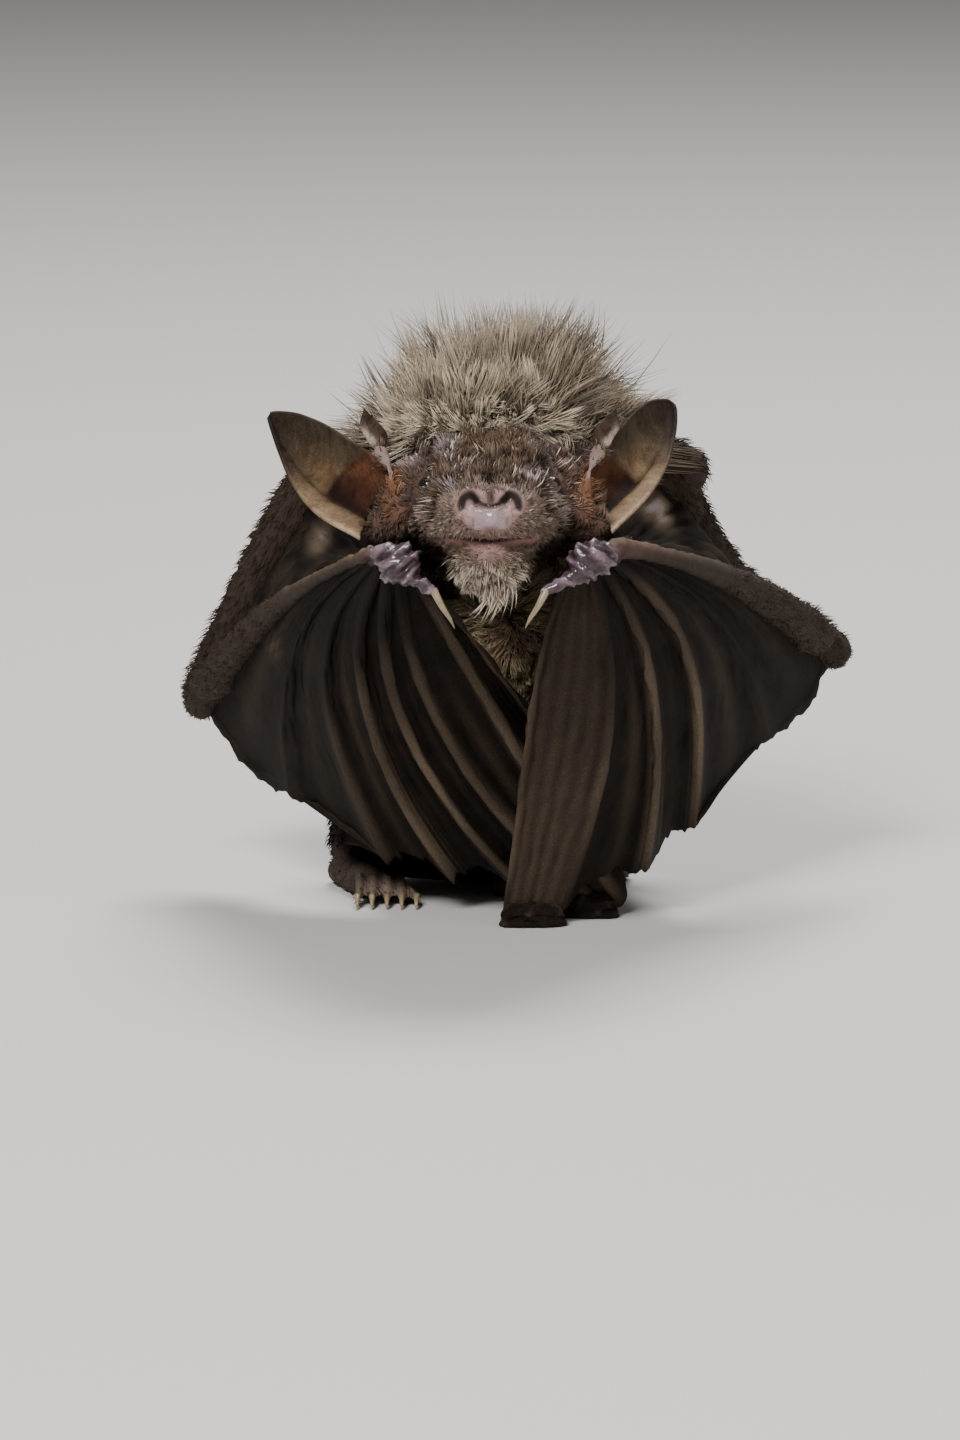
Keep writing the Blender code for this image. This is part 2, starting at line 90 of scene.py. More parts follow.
for name, spot, size, power in (
    ("key_light", (-0.15, -0.46, 0.38), 0.16, 4.6),
    ("fill_light", (0.40, -0.36, 0.16), 0.40, 0.8),
    ("top_light", (0.06, 0.22, 0.48), 0.26, 3.4),
):
    lamp = bpy.data.lights.new(name, "AREA")
    lamp.size = size
    lamp.energy = power
    light = bpy.data.objects.new(name, lamp)
    light.location = spot
    light.rotation_euler = (Vector((0, 0, 0.02)) - Vector(spot)).to_track_quat("-Z", "Y").to_euler()
    bpy.context.scene.collection.objects.link(light)
world = bpy.data.worlds.new("studio")
world.use_nodes = True
world.node_tree.nodes["Background"].inputs["Color"].default_value = (0.84, 0.83, 0.82, 1)
world.node_tree.nodes["Background"].inputs["Strength"].default_value = 0.13
bpy.context.scene.world = world

bpy.ops.object.select_all(action="DESELECT")
bpy.ops.mesh.primitive_plane_add(size=6)
floor = bpy.context.object
floor.name = "floor"
paint = bpy.data.materials.new("pale_floor")
paint.use_nodes = True
paint.node_tree.nodes["Principled BSDF"].inputs["Base Color"].default_value = (0.60, 0.58, 0.55, 1)
paint.node_tree.nodes["Principled BSDF"].inputs["Roughness"].default_value = 0.8
floor.data.materials.append(paint)


# ---------------------------------------------------------------- the skin's shape
# One skin covers the head, neck, trunk, limbs, toes and tail without a seam. It is merged copies of their
# solids, drawn in by the depth of the coat, bridged with rounded lumps of muscle, and fused by a remesh.
SIDES = ("left", "right")
OUT = {"left": 1, "right": -1}
WRIST = {"left": (6.2, 7.8, 26.1), "right": (-5.6, 7.8, 25.9)}
ELBOW = {"left": (22.4, 38.0, 15.4), "right": (-18.8, 37.6, 12.2)}
SHOULDER = {"left": (10.2, 26.0, 29.4), "right": (-10.0, 26.0, 29.0)}
HIP = {"left": (4.8, 38.6, 9.6), "right": (-1.6, 38.6, 9.6)}
KNEE = {"left": (11.2, 41.0, 13.4), "right": (-8.0, 41.0, 13.4)}
ANKLE = {"left": (8.4, 38.4, 2.4), "right": (-9.6, 36.8, 2.4)}
TOES = {"left": (6.4, 31.6, 0.9), "right": (-6.6, 30.2, 0.9)}
THUMB = (3.3, 6.4, 24.3)  # the end of the left thumb; the right one mirrors it
EAR_FOLDS = (  # the lance and the bare fold at the front of the left ear, and how thick they are at each end
    (((5.7, 12.7, 28.3), (6.1, 12.9, 30.2)), (0.75, 0.50)),
    (((6.0, 13.3, 30.7), (6.7, 13.9, 31.8)), (0.26, 0.72)),
    (((7.0, 12.6, 27.6), (6.6, 12.8, 28.2)), (0.55, 0.40)),
)
TAIL = [(1.5, 43.2, 4.6), (1.4, 45.0, 2.9), (1.3, 44.6, 1.2), (1.1, 41.4, 0.8), (0.9, 37.6, 0.7),
        (0.7, 33.6, 0.6)]
SPINE = [(0, 16.8, 28.6), (-0.6, 18.8, 28.7), (-0.6, 21.6, 28.5), (0.9, 25.4, 27.6), (2.5, 30.2, 24.0),
         (2.6, 34.2, 18.8), (2.3, 37.4, 13.4), (1.9, 39.8, 9.0), (1.6, 41.4, 6.2)]
COAT_DEPTH = [1.8, 3.2, 4.6, 5.4, 5.2, 4.6, 3.4, 2.4, 1.6]  # over the back, along the spine


def new_piece(name, mesh):
    made = bpy.data.objects.new(name, mesh)
    bpy.context.scene.collection.objects.link(made)
    return made


def only(*things):
    """Selects these objects, the first of them active."""
    bpy.ops.object.select_all(action="DESELECT")
    for thing in things:
        thing.select_set(True)
    bpy.context.view_layer.objects.active = things[0]


def read(things, key, width, kind=np.float32):
    """A row of numbers for each point, edge, face or corner of a mesh."""
    values = np.empty(len(things) * width, kind)
    things.foreach_get(key, values)
    return values.reshape(-1, width)


def points_of(mesh):
    return read(mesh.vertices, "co", 3).astype(float)


def normals_of(mesh):
    return read(mesh.vertices, "normal", 3).astype(float)


def set_points(mesh, spots):
    mesh.vertices.foreach_set("co", np.asarray(spots, np.float32).ravel())
    mesh.update()


def clamp(values):
    return np.clip(values, 0, 1)


def norm(ways):
    """How long each row of three is."""
    return np.linalg.norm(ways, axis=-1)


def unit(ways):
    """The same directions, one millimetre long."""
    return ways / np.maximum(norm(ways), 1e-9)[..., None]


def apply_step(thing, kind, **settings):
    """Gives the active object a modifier and applies it."""
    step = thing.modifiers.new("step", kind)
    for key, value in settings.items():
        setattr(step, key, value)
    bpy.ops.object.modifier_apply(modifier=step.name)


def apply_smooth(thing, times, **settings):
    apply_step(thing, "SMOOTH", factor=0.5, iterations=times, **settings)


def copy_of(node, swell=0.0):
    """A merged copy of a solid, in millimetres."""
    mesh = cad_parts[node].data.copy()
    mesh.transform(TO_ROW.inverted())
    tool = bmesh.new()
    tool.from_mesh(mesh)
    bmesh.ops.remove_doubles(tool, verts=tool.verts, dist=0.004)
    bmesh.ops.recalc_face_normals(tool, faces=tool.faces)
    tool.to_mesh(mesh)
    tool.free()
    mesh.materials.clear()
    for layer in [a.name for a in mesh.attributes if a.name in ("custom_normal", "UVMap")]:
        mesh.attributes.remove(mesh.attributes[layer])
    set_points(mesh, points_of(mesh) + normals_of(mesh) * swell)
    return new_piece(node + "_copy", mesh)


def along_line(spots, line):
    """For each spot: the nearest point of a line of points, its distance, and how far along it is."""
    line = np.array(line, float)
    best = np.full(len(spots), np.inf)
    near, share = np.zeros((len(spots), 3)), np.zeros(len(spots))
    for i, (a, b) in enumerate(zip(line[:-1], line[1:])):
        t = clamp((spots - a) @ (b - a) / ((b - a) @ (b - a)))
        foot = a + t[:, None] * (b - a)
        gap = norm(spots - foot)
        closer = gap < best
        best[closer], near[closer], share[closer] = gap[closer], foot[closer], (i + t)[closer]
    return near, best, share


def shape(add, **settings):
    """A plain mesh shape, the only thing selected."""
    bpy.ops.object.select_all(action="DESELECT")
    add(**settings)
    return bpy.context.object


def lump(x, y, z, *half_sizes):
    """A rounded lump of muscle."""
    made = shape(bpy.ops.mesh.primitive_uv_sphere_add, segments=20, ring_count=12, location=(x, y, z),
                 scale=half_sizes)
    bpy.ops.object.transform_apply(location=True, rotation=True, scale=True)
    return made


flesh = ["head", "lower_jaw", "nose_pad", "neck", "trunk", "tail"]
flesh += [part + side for side in SIDES
          for part in ("upper_arm_", "forearm_", "wrist_", "thigh_", "shank_", "foot_")]
SWELL = {"neck": 0.2, "trunk": 0.2, "tail": 0.1, "forearm_left": -0.42, "forearm_right": -0.58}
SWELL.update({part + side: swell for side in SIDES
              for part, swell in (("thigh_", 0.2), ("shank_", 0.1), ("wrist_", -0.25))})
JAW_HINGE, JAW_SCALE = np.array((0, 0, 27.3)), (0.70, 1, 0.72)  # the chin's hair takes up the rest
ARM_SAG, ARM_GIRTH = np.array((-0.9, 0.4, -1.2)), 0.90  # of the left arm, which sags behind the wing
MOST_DRAWN_IN = 0.62  # the most of the flesh that the depth of the coat takes up
LUMPS = [  # place and half sizes
    (0, 18.6, 28.3, 4.4, 3.6, 4.0),  # back of the head
    (0, 12.9, 27.0, 2.7, 3.4, 1.8),  # root of the jaw
    (0, 6.9, 29.2, 1.7, 1.5, 1.4),  # muzzle
    (1.2, 24.6, 22.6, 3.2, 2.6, 2.2), (1.9, 23.6, 19.4, 3.0, 3.2, 4.4),  # breast
    (9.8, 26.6, 28.9, 4.2, 2.4, 2.2), (-8.4, 26.6, 28.6, 4.2, 2.4, 2.3),  # shoulders
    (8.4, 39.6, 11.0, 2.6, 2.0, 2.4), (-4.6, 39.4, 11.0, 3.2, 2.0, 2.4),  # haunches
    (1.5, 42.2, 5.2, 1.6, 2.2, 1.7),  # root of the tail
]
PAIRED_LUMPS = [  # of the left half
    (5.7, 14.4, 28.3, 1.3, 1.6, 1.7), (4.9, 14.6, 30.4, 0.9, 1.3, 1.0),  # base of the ear
    (6.3, 13.9, 27.2, 1.4, 1.3, 1.0),  # notch below the ear
    (12.0, 27.6, 26.4, 1.6, 1.4, 1.6),  # armpit
]
parts = []
for node in flesh:
    part = copy_of(node, SWELL.get(node, 0.0))
    spots = points_of(part.data)
    if node == "lower_jaw":
        set_points(part.data, (spots - JAW_HINGE) * JAW_SCALE + JAW_HINGE)
    if node == "upper_arm_left":
        near, gap, share = along_line(spots, (SHOULDER["left"], ELBOW["left"]))
        sag = np.sin(np.pi * share)[:, None] ** 2 * ARM_SAG
        set_points(part.data, near + (spots - near) * ARM_GIRTH + sag)
    if node in ("trunk", "neck"):
        near, gap, share = along_line(spots, SPINE)
        run = np.gradient(np.array(SPINE), axis=0)[np.clip(share.round().astype(int), 0, len(SPINE) - 1)]
        back_way = unit(np.cross(run, np.cross((0, 0, 1), run)))
        upward = ((spots - near) * back_way).sum(1) / np.maximum(gap, 1e-6)
        depth = np.interp(share, range(len(SPINE)), COAT_DEPTH) * (0.66 + 0.34 * upward) + 0.2
        keep = 1 - np.minimum(depth / np.maximum(gap, 1e-6), MOST_DRAWN_IN)
        set_points(part.data, near + (spots - near) * keep[:, None])
    parts.append(part)
parts += [lump(*row) for row in LUMPS]
for side in SIDES:
    (wx, wy, wz), (ex, ey, ez), (kx, ky, kz), (ax, ay, az) = (d[side] for d in (WRIST, ELBOW, KNEE, ANKLE))
    out = OUT[side]
    crook = Vector((ex, ey, ez)).lerp((Vector(WRIST[side]) + Vector(SHOULDER[side])) / 2, 0.16)
    parts += [lump(wx + 0.9 * out, wy + 1.6, wz - 0.1, 0.9, 1.5, 0.9), lump(ex, ey, ez, 1.35, 1.5, 1.4),
              lump(*crook, 1.1, 1.9, 1.6), lump(kx, ky, kz, 1.3, 1.3, 1.3), lump(ax, ay, az, 0.75, 0.8, 0.9)]
    parts += [lump(across * out, *rest) for across, *rest in PAIRED_LUMPS]
    for line, girths in EAR_FOLDS:
        parts += [lump(x * out, y, z, girth * 0.8, girth * 0.7, girth)
                  for (x, y, z), girth in zip(np.linspace(*line, 7), np.linspace(*girths, 7))]
    thumb = np.linspace((wx - 0.2 * out, wy - 0.8, wz - 0.5), (THUMB[0] * out, THUMB[1], THUMB[2]), 9)
    parts += [lump(*spot, girth, girth, girth) for spot, girth in zip(thumb, np.linspace(0.75, 0.40, 9))]
only(*parts)
bpy.ops.object.join()
skin = bpy.context.object
skin.name = skin.data.name = "skin"
apply_step(skin, "REMESH", mode="VOXEL", voxel_size=0.31)
apply_smooth(skin, 6)
only(skin)
bpy.ops.object.mode_set(mode="EDIT")
bpy.ops.mesh.select_all(action="SELECT")
bpy.ops.uv.smart_project(angle_limit=math.radians(66), island_margin=0.001)
bpy.ops.object.mode_set(mode="OBJECT")
skin.data.uv_layers[0].name = "unwrap"


def finer(thing, inside):
    """Splits the faces whose points are all inside the given region."""
    chosen = inside(points_of(thing.data))
    bpy.ops.object.mode_set(mode="EDIT")
    bpy.ops.mesh.select_mode(type="VERT")
    bpy.ops.mesh.select_all(action="DESELECT")
    bpy.ops.object.mode_set(mode="OBJECT")
    thing.data.vertices.foreach_set("select", chosen)
    bpy.ops.object.mode_set(mode="EDIT")
    bpy.ops.mesh.select_mode(type="VERT")
    bpy.ops.mesh.subdivide(number_cuts=1, smoothness=0)
    bpy.ops.object.mode_set(mode="OBJECT")


def relax(thing, inside, times):
    """Evens out the points inside the given region."""
    group = thing.vertex_groups.new(name="relax")
    group.add(np.flatnonzero(inside(points_of(thing.data))).tolist(), 1, "REPLACE")
    apply_smooth(thing, times, vertex_group="relax")
    thing.vertex_groups.clear()


def face_part(p):
    return (p[:, 1] < 13.5) & (p[:, 2] > 22) & (abs(p[:, 0]) < 6.4)


def muzzle_part(p):
    return (p[:, 1] < 8.4) & (p[:, 2] > 25.5) & (abs(p[:, 0]) < 3.4)


def by_either(p, places, reach):
    """Whether each spot is near the left or the right one of two places."""
    return np.minimum(*(norm(p - places[side]) for side in SIDES)) < reach


def wrist_part(p):
    return by_either(p, WRIST, 3.2)


def fine_part(p):
    return face_part(p) | wrist_part(p) | by_either(p, TOES, 3.0)


def forearm_part(p):
    gap = np.minimum(*(along_line(p, (WRIST[side], ELBOW[side]))[1] for side in SIDES))
    return (gap < 1.9) & ~wrist_part(p)


relax(skin, forearm_part, 10)
relax(skin, lambda p: by_either(p, ELBOW, 3.4), 16)
finer(skin, fine_part)
finer(skin, muzzle_part)
relax(skin, fine_part, 4)


def bump(spots, centre, sizes, height, ways):
    """Raises a rounded bump, or a dent where the height is negative."""
    away = (spots - centre) / sizes
    return spots + ways * (height * np.exp(-(away**2).sum(1)))[:, None]


# ---------------------------------------------------------------- the face
# The muzzle is short and bare at its tip: a pad of damp skin under two curled nostrils and a groove, swollen
# glands at the sides, a thin smiling mouth, a brow, and lids drawn round each small eye.
spots, ways = points_of(skin.data), normals_of(skin.data)
PAIRED_BUMPS = [  # of the left half: place, half sizes and height
    ((2.8, 11.4, 31.9), (1.7, 1.6, 0.8), 0.35),  # brow
    ((2.4, 7.6, 30.3), (1.1, 1.5, 0.9), 0.42),  # gland
    ((2.6, 8.6, 27.6), (1.2, 1.6, 0.9), 0.25),  # lip
    ((0.90, 5.4, 31.2), (0.55, 0.9, 0.62), 0.46),  # lobe of the nose
    ((1.30, 4.1, 29.62), (0.30, 0.6, 0.34), 0.42),  # curl of the nostril
    ((1.95, 5.0, 30.0), (0.3, 0.6, 0.6), 0.20),  # wing of the nostril
    ((4.6, 12.6, 27.6), (1.2, 1.8, 1.2), 0.35),  # cheek
]
MIDDLE_BUMPS = [
    ((0, 10.2, 32.2), (2.2, 1.5, 1.0), -0.40),  # between the brows
    ((0, 3.9, 29.15), (0.9, 0.8, 0.55), 0.20),  # nose pad
    ((0, 4.6, 28.2), (0.3, 0.8, 0.4), -0.10),  # below the pad
    ((0, 5.6, 26.9), (1.6, 1.2, 0.45), 0.22),  # lower lip
]
for out in (1, -1):
    for (across, back, up), sizes, height in PAIRED_BUMPS:
        spots = bump(spots, (across * out, back, up), sizes, height, ways)
for centre, sizes, height in MIDDLE_BUMPS:
    spots = bump(spots, centre, sizes, height, ways)


FAR_BELOW, FAR_ABOVE = -9, 99  # beyond the model either way


def window(values, low, high, soft):
    """1 between two limits and 0 beyond them, with a soft edge."""
    return 1 / (1 + np.exp(-(values - low) / soft)) / (1 + np.exp((values - high) / soft))


def above(values, limit, soft):
    return window(values, limit, FAR_ABOVE, soft)


def below(values, limit, soft):
    return window(values, FAR_BELOW, limit, soft)


def dome(values, centre, half, power=2):
    """1 at a centre and 0 well beyond it; flatter on top with a higher power."""
    return np.exp(-((values - centre) / half) ** power)


def about_eyes(p, reach):
    """1 at each eye, fading out at this distance."""
    return sum(dome(norm(p - np.array(EYE) * (out, 1, 1)), 0, reach, 4) for out in (1, -1))


MOUTH = 27.55


def hollow_of(p):
    """How deep a spot lies in the nostrils, the groove above them, the mouth or the front of the ear."""
    x, y, z = p.T
    ahead = below(y, 8.6, 0.2)
    a, b = abs(x) - 1.22, z - 29.78
    arch = dome(np.hypot(a, 0.9 * b), 0.50, 0.27, 4) * window(b + 0.5 * a, -0.05, 2, 0.06)
    link = dome(z - 30.05 + 0.12 * np.cos(2.5 * x), 0, 0.15) * window(abs(x), -1, 0.75, 0.08)
    groove = dome(x - 0.06 * np.sin(4 * z), 0, 0.19) * window(z, 29.95, 31.9, 0.12)
    slit = dome(z, MOUTH, 0.13) * below(abs(x), 2.85, 0.15)
    nose = below(y, 6.4, 0.2)
    ear_line = dome(abs(x) - 5.0 + 0.42 * (z - 28.2), 0, 0.28) * window(z, 27.5, 32.8, 0.3)
    ear_line *= window(y, 9.0, 15.0, 0.4)
    return np.maximum.reduce([arch * nose, 0.8 * link * nose, 0.8 * groove * nose, 0.9 * slit * ahead,
                              0.7 * ear_line])


spots -= ways * (0.5 * hollow_of(spots))[:, None]
for out in (1, -1):  # a lid raised round each eye, and the socket within it
    middle = np.array(EYE) * (out, 1, 1)
    away = norm((spots - middle) * (1, 1, 1.45))
    spots += ways * (0.34 * dome(away, 0.92, 0.24) - 0.7 * dome(away, 0, 0.58, 4))[:, None]

# the wrists are bare skin, crumpled where the wing folds; the toes are parted and ringed
rng = np.random.default_rng(7)
# the troughs of the wrist's creases and the gaps between the toes get painted shade
crease_shade = np.zeros(len(spots))
for side in SIDES:
    from_wrist = spots - WRIST[side]
    near = window(norm(from_wrist), -1, 2.7, 0.25)
    crumple = np.zeros(len(spots))
    for k in range(8):
        across = np.array((0.62 * OUT[side], 0.15, 0.78)) + rng.normal(0, 0.28, 3)
        across *= rng.uniform(1.6, 5.5) / np.linalg.norm(across)
        wave = np.sin(from_wrist @ across + rng.uniform(0, 6) + 0.9 * np.sin(from_wrist[:, 0] * 1.3 + k))
        crumple += (1 - abs(wave)) ** 2 * 0.15
    spots += ways * (near * (crumple - 0.34))[:, None]
    crease_shade += near * (1 - clamp((crumple - 0.24) / 0.26))
    from_toes = spots - TOES[side]
    near = below(from_toes[:, 1], 2.4, 0.3) * window(spots[:, 2], 0.25, 3.5, 0.1) * (
        norm(from_toes) < 3.6)
    between_toes = 0.5 + 0.5 * np.cos(math.tau * (from_toes[:, 0] / 0.95 + 0.5))
    rings = 0.5 + 0.5 * np.cos(math.tau * from_toes[:, 1] / 0.42)
    spots -= ways * (near * (0.34 * between_toes**2 + 0.03 * rings))[:, None]
    crease_shade += 0.7 * near * between_toes**2
for k in range(14):  # the loose skin of the limbs is finely wrinkled
    across = rng.normal(size=3)
    across *= rng.uniform(2.5, 6.5) / np.linalg.norm(across)
    wrinkle = np.sin(spots @ across + rng.uniform(0, 6) + 1.3 * np.sin(spots[:, 0] + k))
    spots += ways * (0.011 * wrinkle)[:, None]
spots[:, 2] = np.maximum(spots[:, 2], 0)
set_points(skin.data, spots)
relax(skin, lambda p: face_part(p) | wrist_part(p), 1)

# ---------------------------------------------------------------- the skin's markings
# The face is dark brown, the muzzle a pinkish brown, the nose pad and wrists lilac pink, the limbs dark.
# The same markings colour the coat. Every spot belongs to the nearest bone, whose hair lies along it.
BONES = {  # points along each bone, and how thick the flesh is about them
    "muzzle": ([(0, 4.2, 28.9), (0, 8.4, 28.6)], (2.2, 3.2)),
    "head": ([(0, 8.6, 29.2), (0, 18.2, 28.3)], (3.2, 5.0)),
    "jaw": ([(0, 7.3, 26.0), (0, 14.2, 25.0)], (2.4, 3.0)),
    "torso": (SPINE, (4.0, 4.8, 5.6, 7.0, 7.4, 6.8, 5.6, 4.0, 2.4)),
    "tail": (TAIL, (1.5, 1.2, 1.0, 0.9, 0.8, 0.7)),
}
for side in SIDES:
    BONES["upper_arm_" + side] = ([SHOULDER[side], ELBOW[side]], (2.2, 1.6))
    BONES["forearm_" + side] = ([WRIST[side], ELBOW[side]], (1.2, 1.8))
    BONES["wrist_" + side] = ([WRIST[side], np.array(THUMB) * (OUT[side], 1, 1)], (1.9, 0.7))
    BONES["thigh_" + side] = ([HIP[side], KNEE[side]], (2.4, 1.6))
    BONES["shank_" + side] = ([KNEE[side], ANKLE[side]], (1.3, 0.9))
    BONES["foot_" + side] = ([ANKLE[side], TOES[side]], (1.0, 0.9))

SKIN_TONES = {
    "muzzle": (0.20, 0.130, 0.110), "head": (0.050, 0.034, 0.026), "jaw": (0.19, 0.125, 0.105),
    "torso": (0.075, 0.056, 0.045), "upper_arm": (0.034, 0.022, 0.015), "forearm": (0.030, 0.020, 0.014),
    "wrist": (0.22, 0.152, 0.185), "thigh": (0.04, 0.027, 0.019), "shank": (0.036, 0.024, 0.018),
    "foot": (0.040, 0.026, 0.020), "tail": (0.032, 0.022, 0.016),
}


def nearest_bone(p):
    """The bone each spot belongs to, and the direction of that bone there."""
    best, owner, run = np.full(len(p), np.inf), np.zeros(len(p), int), np.zeros((len(p), 3))
    for k, (line, girths) in enumerate(BONES.values()):
        near, gap, share = along_line(p, line)
        gap = gap - np.interp(share, range(len(line)), girths)
        line = np.array(line, float)
        steps = np.gradient(line, axis=0)
        closer = gap < best
        best[closer], owner[closer] = gap[closer], k
        run[closer] = steps[np.clip(share.round().astype(int), 0, len(line) - 1)][closer]
    return owner, unit(run)


def of_bone(owner, table, otherwise=0.0):
    """A number or colour for each spot, from a table by the bone's name without its side."""
    kinds = [name.rsplit("_l", 1)[0].rsplit("_r", 1)[0] for name in BONES]
    return np.array([table.get(kind, otherwise) for kind in kinds], float)[owner]


def blend(colours, toward, share):
    return colours + (np.array(toward) - colours) * clamp(share)[:, None]


def layered(colours, *layers):
    """Colours with others laid over them, each by its own share."""
    for toward, share in layers:
        colours = blend(colours, toward, share)
    return colours


def evened(mesh, values, times):
    """Values at the points of a mesh, evened out along its edges."""
    a, b = read(mesh.edges, "vertices", 2, int).T
    values = values.astype(float)
    count = np.bincount(a, minlength=len(values)) + np.bincount(b, minlength=len(values)) + 1.0
    for _ in range(times):
        total = values.copy()
        for column in range(values.shape[1]):
            total[:, column] += np.bincount(a, values[b, column], len(values))
            total[:, column] += np.bincount(b, values[a, column], len(values))
        values = total / count[:, None]
    return values


spots, ways = points_of(skin.data), normals_of(skin.data)
owner, run = nearest_bone(spots)
names = list(BONES)
for side in SIDES:  # the shoulder's point has the short dark hair of the arm
    point = (owner == names.index("torso")) & (spots[:, 0] * OUT[side] > 7.8) & (spots[:, 2] < 31.2)
    owner[point] = names.index("upper_arm_" + side)
    run[point] = np.array(ELBOW[side]) - SHOULDER[side]
run = unit(run)
# the skin about the ears belongs to the head
ear_base = (abs(spots[:, 1] - 14) < 3.2) & (spots[:, 2] > 25.9) & (abs(spots[:, 0]) < 8.6)
ear_base &= np.isin(owner, [names.index(name) for name in ("forearm_left", "forearm_right", "torso", "jaw")])
owner[ear_base], run[ear_base] = names.index("head"), (0, 1, 0)
run = evened(skin.data, run, 12)
lie = unit(run - ways * (run * ways).sum(1)[:, None])
x, y, z = spots.T

ahead = below(y, 5.6, 0.2)
pad = dome(abs(x), 0, 1.12 - 0.12 * (z - 29.2), 3) * dome(abs(z - 29.12), 0, 0.62, 3) * ahead
curl = dome(abs(x), 1.32, 0.34) * dome(z, 29.5, 0.46) + 0.7 * dome(abs(x), 0.8, 0.45) * dome(z, 31.1, 0.45)
curl *= ahead
lips = dome(z, MOUTH - 0.1, 0.42) * below(abs(x), 2.9, 0.2) * below(y, 8.2, 0.2)
of_wrist = of_bone(owner, {"wrist": 1.0})
blotches = 2.4 * np.sin(x * 2.3 + 1.4 * np.sin(z * 1.7)) * np.sin(z * 2.9 + np.sin(y * 2.0))
toe_ends = sum(dome(norm((spots - TOES[side]) * (0.35, 1, 1)), 0, 0.9) for side in SIDES)
temple = above(abs(x) + 0.42 * (z - 28.2), 5.1, 0.12) * window(y, 9.5, 16.0, 0.4) * window(z, 25.8, 33, 0.3)
lance, bare_fold = (
    sum(dome(along_line(spots, np.array(line) * (out, 1, 1))[1], 0, 0.62, 4) for out in (1, -1))
    for line, girths in EAR_FOLDS[:2])
near_wrist = sum(window(norm(spots - WRIST[side]), -1, 12, 4) for side in SIDES)
lit_arm = of_bone(owner, {"forearm": 1.0}) * clamp(ways[:, 2] * 1.1 - ways[:, 1] * 0.4) * near_wrist
lit_arm *= np.where(x > 0, 0.45, 1)
tones = layered(
    evened(skin.data, of_bone(owner, SKIN_TONES), 10),
    ((0.30, 0.195, 0.170), dome(abs(x), 1.2, 1.6) * dome(z, 28.6, 1.5) * (y < 7.6)),  # the bare muzzle
    ((0.31, 0.235, 0.27), 0.9 * pad),
    ((0.48, 0.30, 0.29), 0.8 * curl),
    ((0.10, 0.066, 0.075), 0.7 * dome(abs(x), 1.02, 0.10) * dome(z, 29.0, 0.35) * ahead),  # the pad's sides
    ((0.32, 0.165, 0.145), 0.8 * lips),
    # painted shade in the nostrils, the groove above them, the mouth and the line before each ear
    ((0.016, 0.009, 0.008), 1.2 * hollow_of(spots)),
    # painted shade in the wrist's creases and between the toes
    ((0.026, 0.012, 0.018), crease_shade),
    ((0.035, 0.020, 0.024), 0.9 * of_wrist * clamp(blotches)),
    ((0.20, 0.15, 0.105), 0.6 * toe_ends),
    ((0.10, 0.055, 0.040), 0.85 * temple),
    ((0.17, 0.080, 0.045), 0.9 * lance),
    ((0.29, 0.22, 0.185), 0.85 * bare_fold),
    ((0.17, 0.122, 0.080), 0.8 * lit_arm),
)
wet = clamp(1.2 * pad + 0.5 * curl + 0.5 * lips + 0.9 * of_wrist)
wet *= 1 - clamp(hollow_of(spots))


def mark(mesh, name, values):
    """Gives each point of a mesh a number, or a colour and one number more."""
    kind, key = ("FLOAT", "value") if values.ndim == 1 else ("FLOAT_COLOR", "color")
    mesh.attributes.new(name, kind, "POINT").data.foreach_set(key, values.astype(np.float32).ravel())


mark(skin.data, "tone", np.column_stack([tones, wet]))


class Recipe:
    """A procedural material, put together node by node."""

    def __init__(self, name, colour=None):
        self.material = bpy.data.materials.new(name)
        self.material.use_nodes = True
        self.tree = self.material.node_tree
        self.shader = self.tree.nodes["Principled BSDF"]
        self.where = self.add("ShaderNodeTexCoord").outputs["Object"]
        self.tone = None if colour else self.attribute("tone")
        self.colour = (*colour, 1) if colour else self.tone.outputs["Color"]

    def add(self, kind, **settings):
        node = self.tree.nodes.new(kind)
        for key, value in settings.items():
            setattr(node, key, value)
        return node

    def feed(self, node, **inputs):
        for key, value in inputs.items():
            socket = node.inputs[int(key[1:]) if key[0] == "_" else key.replace("_", " ")]
            if isinstance(value, bpy.types.NodeSocket):
                self.tree.links.new(value, socket)
            else:
                socket.default_value = value
        return node

    def attribute(self, name):
        return self.add("ShaderNodeAttribute", attribute_name=name)

    def noise(self, scale, detail=3.0, rough=0.6, stretch=(1, 1, 1)):
        """Noise with a grain of so many cells a millimetre."""
        move = self.feed(self.add("ShaderNodeMapping"), Vector=self.where,
                         Scale=[scale * v / MM for v in stretch])
        return self.feed(self.add("ShaderNodeTexNoise"), Vector=move.outputs[0], Scale=1.0, Detail=detail,
                         Roughness=rough).outputs["Fac"]

    def spread(self, value, low, high, to_low=0.0, to_high=1.0):
        return self.feed(self.add("ShaderNodeMapRange"), Value=value, _1=low, _2=high, _3=to_low,
                         _4=to_high).outputs[0]

    def math(self, what, a, b):
        return self.feed(self.add("ShaderNodeMath", operation=what), _0=a, _1=b).outputs[0]

    def times(self, a, b):
        return self.math("MULTIPLY", a, b)

    def plus(self, a, b):
        return self.math("ADD", a, b)

    def cover(self, share, colour, how="MIX"):
        """Lays another colour over the one so far."""
        node = self.add("ShaderNodeMix", data_type="RGBA", blend_type=how)
        self.colour = self.feed(node, _0=share, _6=self.colour, _7=(*colour, 1)).outputs[2]

    def tint(self, grain, low, high, most, colour):
        """Multiplies the colour so far by another where the grain runs high."""
        self.cover(self.spread(grain, low, high, 0, most), colour, "MULTIPLY")

    def finish(self, **inputs):
        self.feed(self.shader, Base_Color=self.colour, **inputs)

    def relief(self, height, depth, strength):
        """Bumps of the given depth in millimetres."""
        node = self.feed(self.add("ShaderNodeBump"), Height=height, Distance=depth * MM, Strength=strength)
        self.feed(self.shader, Normal=node.outputs[0])


